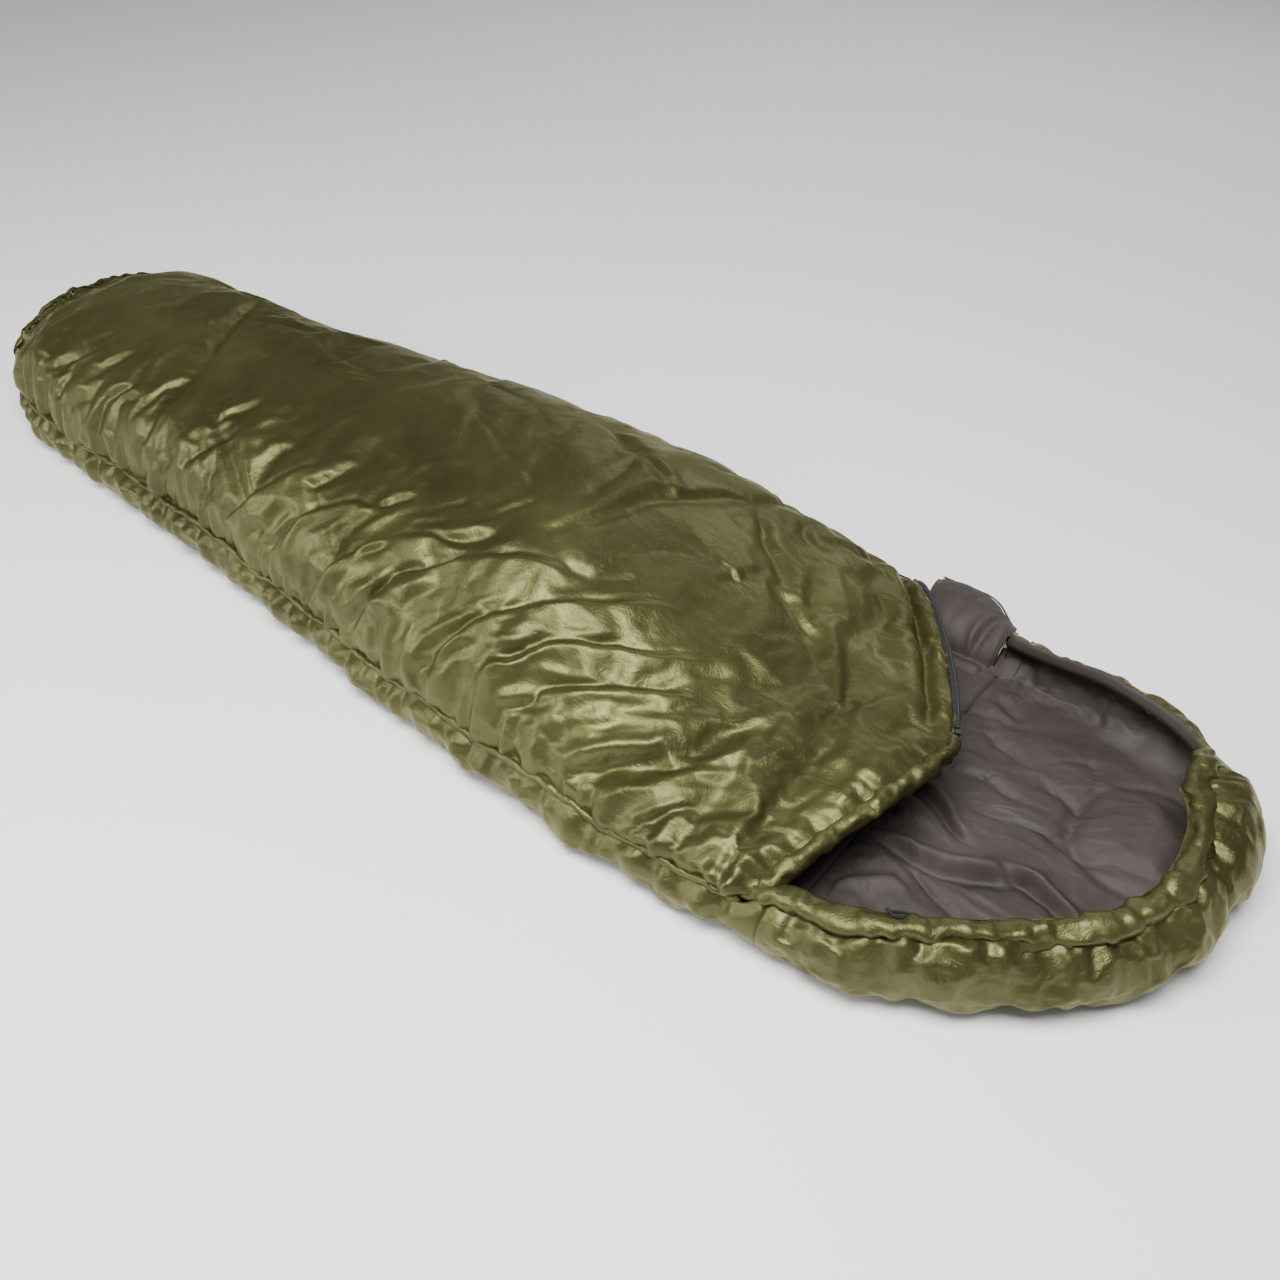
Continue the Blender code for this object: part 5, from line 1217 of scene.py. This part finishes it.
def make_flap():
    rows, columns = 70, 80
    along, across = np.meshgrid(np.linspace(0, 1, rows), np.linspace(-0.30, 1.0, columns), indexing="ij")
    points = flap_point(along, np.clip(across, 0, 1))
    inside = np.clip(-across, 0, 1)
    points[..., 1] -= FLAP_WIDTH * inside
    points[..., 2] += 0.0035 * smoothstep(inside / 0.1) - 0.0165 * smoothstep((inside - 0.10) / 0.18)
    ends = np.minimum(along, 1 - along)
    points[..., 2] -= 0.0120 * (1 - smoothstep(ends / 0.15)) * smoothstep(inside / 0.08)
    normals = grid_normals(points, [0, 0, 1.0])
    x, y = points[..., 0], points[..., 1]
    lift = 0.0030 * layered(x / 0.07, y / 0.06, 121, 3)
    lift += stroke(x, y, (1.78, 0.29), (1.80, 0.40), 0.010, 0.004, "crease", 0.05)
    lift += stroke(x, y, (1.83, 0.28), (1.84, 0.36), 0.010, 0.005, "step", 0.08)
    edge = np.minimum(np.minimum(along, 1 - along) * FLAP_LENGTH, (1 - across) * FLAP_WIDTH)
    lift *= smoothstep(edge / 0.015)
    drop = 0.0050 * (1 - smoothstep(edge / 0.010)) ** 2
    top = points + normals * (lift - drop)[..., None]
    lining = sheet("flap_inner", top, normals, TAUPE, points)
    refine(lining)
    thicken(lining, LINING_CLOTH)
    under = points - normals * (0.0125 - drop)[..., None]
    under[..., 2] = np.maximum(under[..., 2], 0.0030)
    outer_part = under[:, FLAP_ROOT_COLUMNS:]
    shell = sheet("flap_outer", outer_part, -normals[:, FLAP_ROOT_COLUMNS:], OLIVE_SIDE)
    refine(shell)
    thicken(shell, LINING_CLOTH)
    sides = flap_edge(top[:, FLAP_ROOT_COLUMNS:], outer_part)
    run = np.linspace(0.02, 0.96, 60)
    edge_line = flap_point(run, np.ones_like(run))
    inner_line = flap_point(run, np.full_like(run, 0.98))
    outward = unit(edge_line - inner_line)
    tangent = unit(np.gradient(edge_line, axis=0))
    normal = unit(np.cross(outward, tangent))
    normal = np.where(normal[:, 2:] < 0, -normal, normal)
    tape = strip("flap_tape", edge_line, outward, normal,
                 [(0.0, -0.0006), (0.0105, -0.0006), (0.0105, 0.0006), (0.0, 0.0006)], WEBBING)
    row = teeth("flap_teeth", edge_line, outward, normal, 0.0032, 0.0042, 0.0030, 0.0124, COIL)
    for obj, slot, node, fill in ((lining, "taupe_lining", ("flap_lining",), 0.3),
                                  (shell, "olive_shell", ("flap_shell", "flap_fill"), 0.3),
                                  (sides, "olive_trim", (), None)):
        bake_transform(obj)
        if node:
            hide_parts(*node)
    piece(tape, "flap", "black_webbing", "flap_zip_tape")
    piece(row, "flap", "black_coil", "flap_zip_coil")


def make_gusset():
    """Lining carried round the corner between the flap's fold and the hood's far end."""
    along, across = np.meshgrid(np.linspace(0, 1, 14), np.linspace(0, 1, 14), indexing="ij")
    x = 1.848 + 0.052 * along
    y = 0.255 + (0.060 + 0.022 * along) * across
    z = PANEL_DEPTH - 0.013 + 0.052 * smoothstep(across) * (0.35 + 0.65 * along)
    z -= 0.008 * (1 - smoothstep(np.minimum(along, 1 - along) / 0.25)) * (1 - across)
    z = np.maximum(z, 0.007)
    points = np.stack([x, y, z], axis=-1)
    normals = grid_normals(points, [0, 0, 1.0])
    points = points + normals * (0.0025 * layered(x / 0.03, y / 0.03, 131, 3))[..., None]
    corner = sheet("lining_corner", points, normals, TAUPE)
    refine(corner)
    thicken(corner, 0.0050)
    piece(corner, "bag", "taupe_lining")


def flap_edge(top, under):
    """The rolled edge that joins the flap's two faces round its free sides."""
    loop_top = np.concatenate([top[0, :-1], top[:-1, -1], top[-1, ::-1]])
    loop_under = np.concatenate([under[0, :-1], under[:-1, -1], under[-1, ::-1]])
    middle = (top.mean(axis=(0, 1)) + under.mean(axis=(0, 1))) / 2
    rings = 7
    rows = []
    for k in range(rings):
        share = k / (rings - 1)
        line = loop_top * (1 - share) + loop_under * share
        outward = line - middle
        outward[:, 2] = 0
        rows.append(line + unit(outward) * 0.0035 * math.sin(PI * share))
    points = np.array(rows)
    normals = grid_normals(points, points - middle)
    edge = sheet("flap_edge_binding", points, normals, OLIVE_TRIM)
    thicken(edge, 0.0010)
    return edge


# ---------------------------------------------------------------- cord, lock, loop, hardware


def rounded_copy(node, name, width, material, body, slot):
    """The CAD node's own shape with its edges rounded."""
    mesh = NODES[node].data.copy()
    obj = bpy.data.objects.new(name, mesh)
    bpy.context.collection.objects.link(obj)
    mesh.materials.clear()
    mesh.materials.append(material)
    weld = obj.modifiers.new("weld", "WELD")
    weld.merge_threshold = 0.00002
    made = obj.modifiers.new("round", "BEVEL")
    made.width, made.segments, made.limit_method = width, 2, "ANGLE"
    made.angle_limit = math.radians(35)
    apply_modifiers(obj)
    piece(obj, body, slot, node)
    return obj


def curve_through(points, count):
    points = np.asarray(points, float)
    knots = run_along(points)
    slopes = np.gradient(points, knots, axis=0)
    where = np.linspace(0.0, knots[-1], count)
    index = np.clip(np.searchsorted(knots, where, side="right") - 1, 0, len(knots) - 2)
    span = (knots[index + 1] - knots[index])[:, None]
    t = ((where - knots[index])[:, None]) / span
    return ((2 * t**3 - 3 * t**2 + 1) * points[index] + (t**3 - 2 * t**2 + t) * span * slopes[index]
            + (3 * t**2 - 2 * t**3) * points[index + 1] + (t**3 - t**2) * span * slopes[index + 1])


def cord_route():
    """The drawcord's free end: out of the tunnel, down inside the rim, through the lock, along the lining."""
    gap = 0.0007
    before, start = rim_path([0.103, 0.115], -0.004, 0.0110)
    leaving = unit(before - start)
    low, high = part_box("cord_lock_body")
    lock = np.array([(low.x + high.x) / 2 - SHIFT[0], low.y - SHIFT[1] + 0.0135, PANEL_DEPTH + 0.0093])
    rest = PANEL_DEPTH + 0.0026
    return np.array([
        start + leaving * gap,
        start + leaving * 0.010,
        start + leaving * 0.021 + [0.0, 0.010, -0.003],
        start + leaving * 0.025 + [0.0, 0.024, -0.020],
        [start[0], start[1] + 0.037, (start[2] + lock[2]) / 2 + 0.006],
        [start[0] + 0.016, lock[1] - 0.004, lock[2] + 0.016],
        [lock[0] + 0.0185, lock[1], lock[2]],
        lock,
        [lock[0] - 0.0145, lock[1], lock[2]],
        [lock[0] - 0.0205, lock[1], lock[2]],
        [lock[0] - 0.042, lock[1] - 0.003, rest + 0.0012],
        [lock[0] - 0.062, lock[1] - 0.007, rest],
        [lock[0] - 0.082, lock[1] - 0.004, rest],
    ])


def make_cord():
    path = curve_through(cord_route(), 90) + SHIFT
    curve = bpy.data.curves.new("drawcord_end", "CURVE")
    curve.dimensions = "3D"
    curve.bevel_depth, curve.bevel_resolution, curve.use_fill_caps = 0.0018, 4, True
    line = curve.splines.new("POLY")
    line.points.add(len(path) - 1)
    for point, place in zip(line.points, path):
        point.co = (*place, 1.0)
    curve.materials.append(CORD)
    obj = bpy.data.objects.new("drawcord_end", curve)
    bpy.context.collection.objects.link(obj)
    knot = make_knot()
    piece(obj, "bag", "black_webbing", "drawcord_tail")


def make_knot():
    """Overhand knot: a small trefoil of the same cord."""
    low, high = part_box("drawcord_knot")
    middle = np.array((low + high) / 2)
    angle = np.linspace(0, math.tau, 96, endpoint=False)
    size = 0.00085
    path = np.stack([np.sin(angle) + 2 * np.sin(2 * angle), np.cos(angle) - 2 * np.cos(2 * angle),
                     -1.1 * np.sin(3 * angle)], axis=1) * size
    rings, sides, radius = len(path), 10, 0.0016
    tangents = unit(np.roll(path, -1, axis=0) - np.roll(path, 1, axis=0))
    outs = unit(np.cross(tangents, [0, 0, 1.0]))
    ups = np.cross(outs, tangents)
    around = np.arange(sides) * math.tau / sides
    points = (path[:, None] + radius * (outs[:, None] * np.cos(around)[:, None]
                                        + ups[:, None] * np.sin(around)[:, None]))
    points = points.reshape(-1, 3) + middle - SHIFT
    faces = orient(points, ring_faces(rings, sides, closed=True))
    obj = mesh_object("drawcord_end_knot", points, faces, CORD)
    return piece(obj, "bag", "black_webbing", "drawcord_knot")


def make_foot_loop():
    """Folded webbing: a strap bent back on itself, ribbed across, sewn in at the foot seam."""
    low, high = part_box("foot_loop")
    root = np.array([high.x, (low.y + high.y) / 2, (low.z + high.z) / 2]) - SHIFT
    outer, thick = (high.z - low.z) / 2, 0.0018
    straight = (high.x - low.x) - outer
    bend = outer - thick / 2
    line = [(root[0] + 0.006, bend)] + [(root[0] - s, bend) for s in np.linspace(0, straight, 14)]
    line += [(root[0] - straight - bend * math.cos(a), bend * math.sin(a))
             for a in np.linspace(PI / 2, -PI / 2, 14)[1:-1]]
    line += [(root[0] - s, -bend) for s in np.linspace(straight, 0, 14)] + [(root[0] + 0.006, -bend)]
    path = np.array([(x, root[1], root[2] + z) for x, z in line])
    tangent = unit(np.gradient(path, axis=0))
    outs = np.tile([0.0, 1.0, 0.0], (len(path), 1))
    ups = unit(np.cross(tangent, outs))
    half, h = 0.012, thick / 2
    profile = []
    for sign, ribs in ((-1, range(9)), (1, range(8, -1, -1))):
        for k in ribs:
            inside = 0 < k < 8
            y, rib = -half + 2 * half * k / 8, 0.00022 * (1 if k % 2 else -1)
            profile.append((y * (1 if inside else 0.985), sign * (h * (1 if inside else 0.4) + rib)))
    loop = strip("foot_webbing_loop", path, outs, ups, profile, WEBBING)
    piece(loop, "foot_loop", "black_webbing", "foot_loop")


def finish_nodes():
    for node, name, width, material, body, slot in (
            ("zip_slider", "slider_body", 0.0005, METAL, "zip_slider", "dark_metal"),
            ("zip_pull", "slider_pull", 0.0003, METAL, "zip_pull", "dark_metal"),
            ("zip_bottom_stop", "bottom_stop", 0.0004, METAL, "bag", "dark_metal"),
            ("cover_zip_stop", "cover_top_stop", 0.0003, METAL, "bag", "dark_metal"),
            ("flap_zip_stop", "flap_top_stop", 0.0003, METAL, "flap", "dark_metal"),
            ("cord_lock_body", "lock_barrel", 0.0006, PLASTIC, "cord_lock", "black_plastic"),
            ("cord_lock_plunger", "lock_plunger", 0.0005, PLASTIC, "cord_lock_plunger", "black_plastic")):
        rounded_copy(node, name, width, material, body, slot)
    spring = rounded_copy("cord_lock_spring", "lock_spring", 0.00005, SPRING, "cord_lock", "spring_steel")
    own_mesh(spring)


make_cord()
make_cover()
make_base()
make_foot()
make_hood()
make_rim()
make_edges()
make_zip()
make_draught_tube()
make_side_seam()
make_flap()
make_gusset()
make_foot_loop()
finish_nodes()
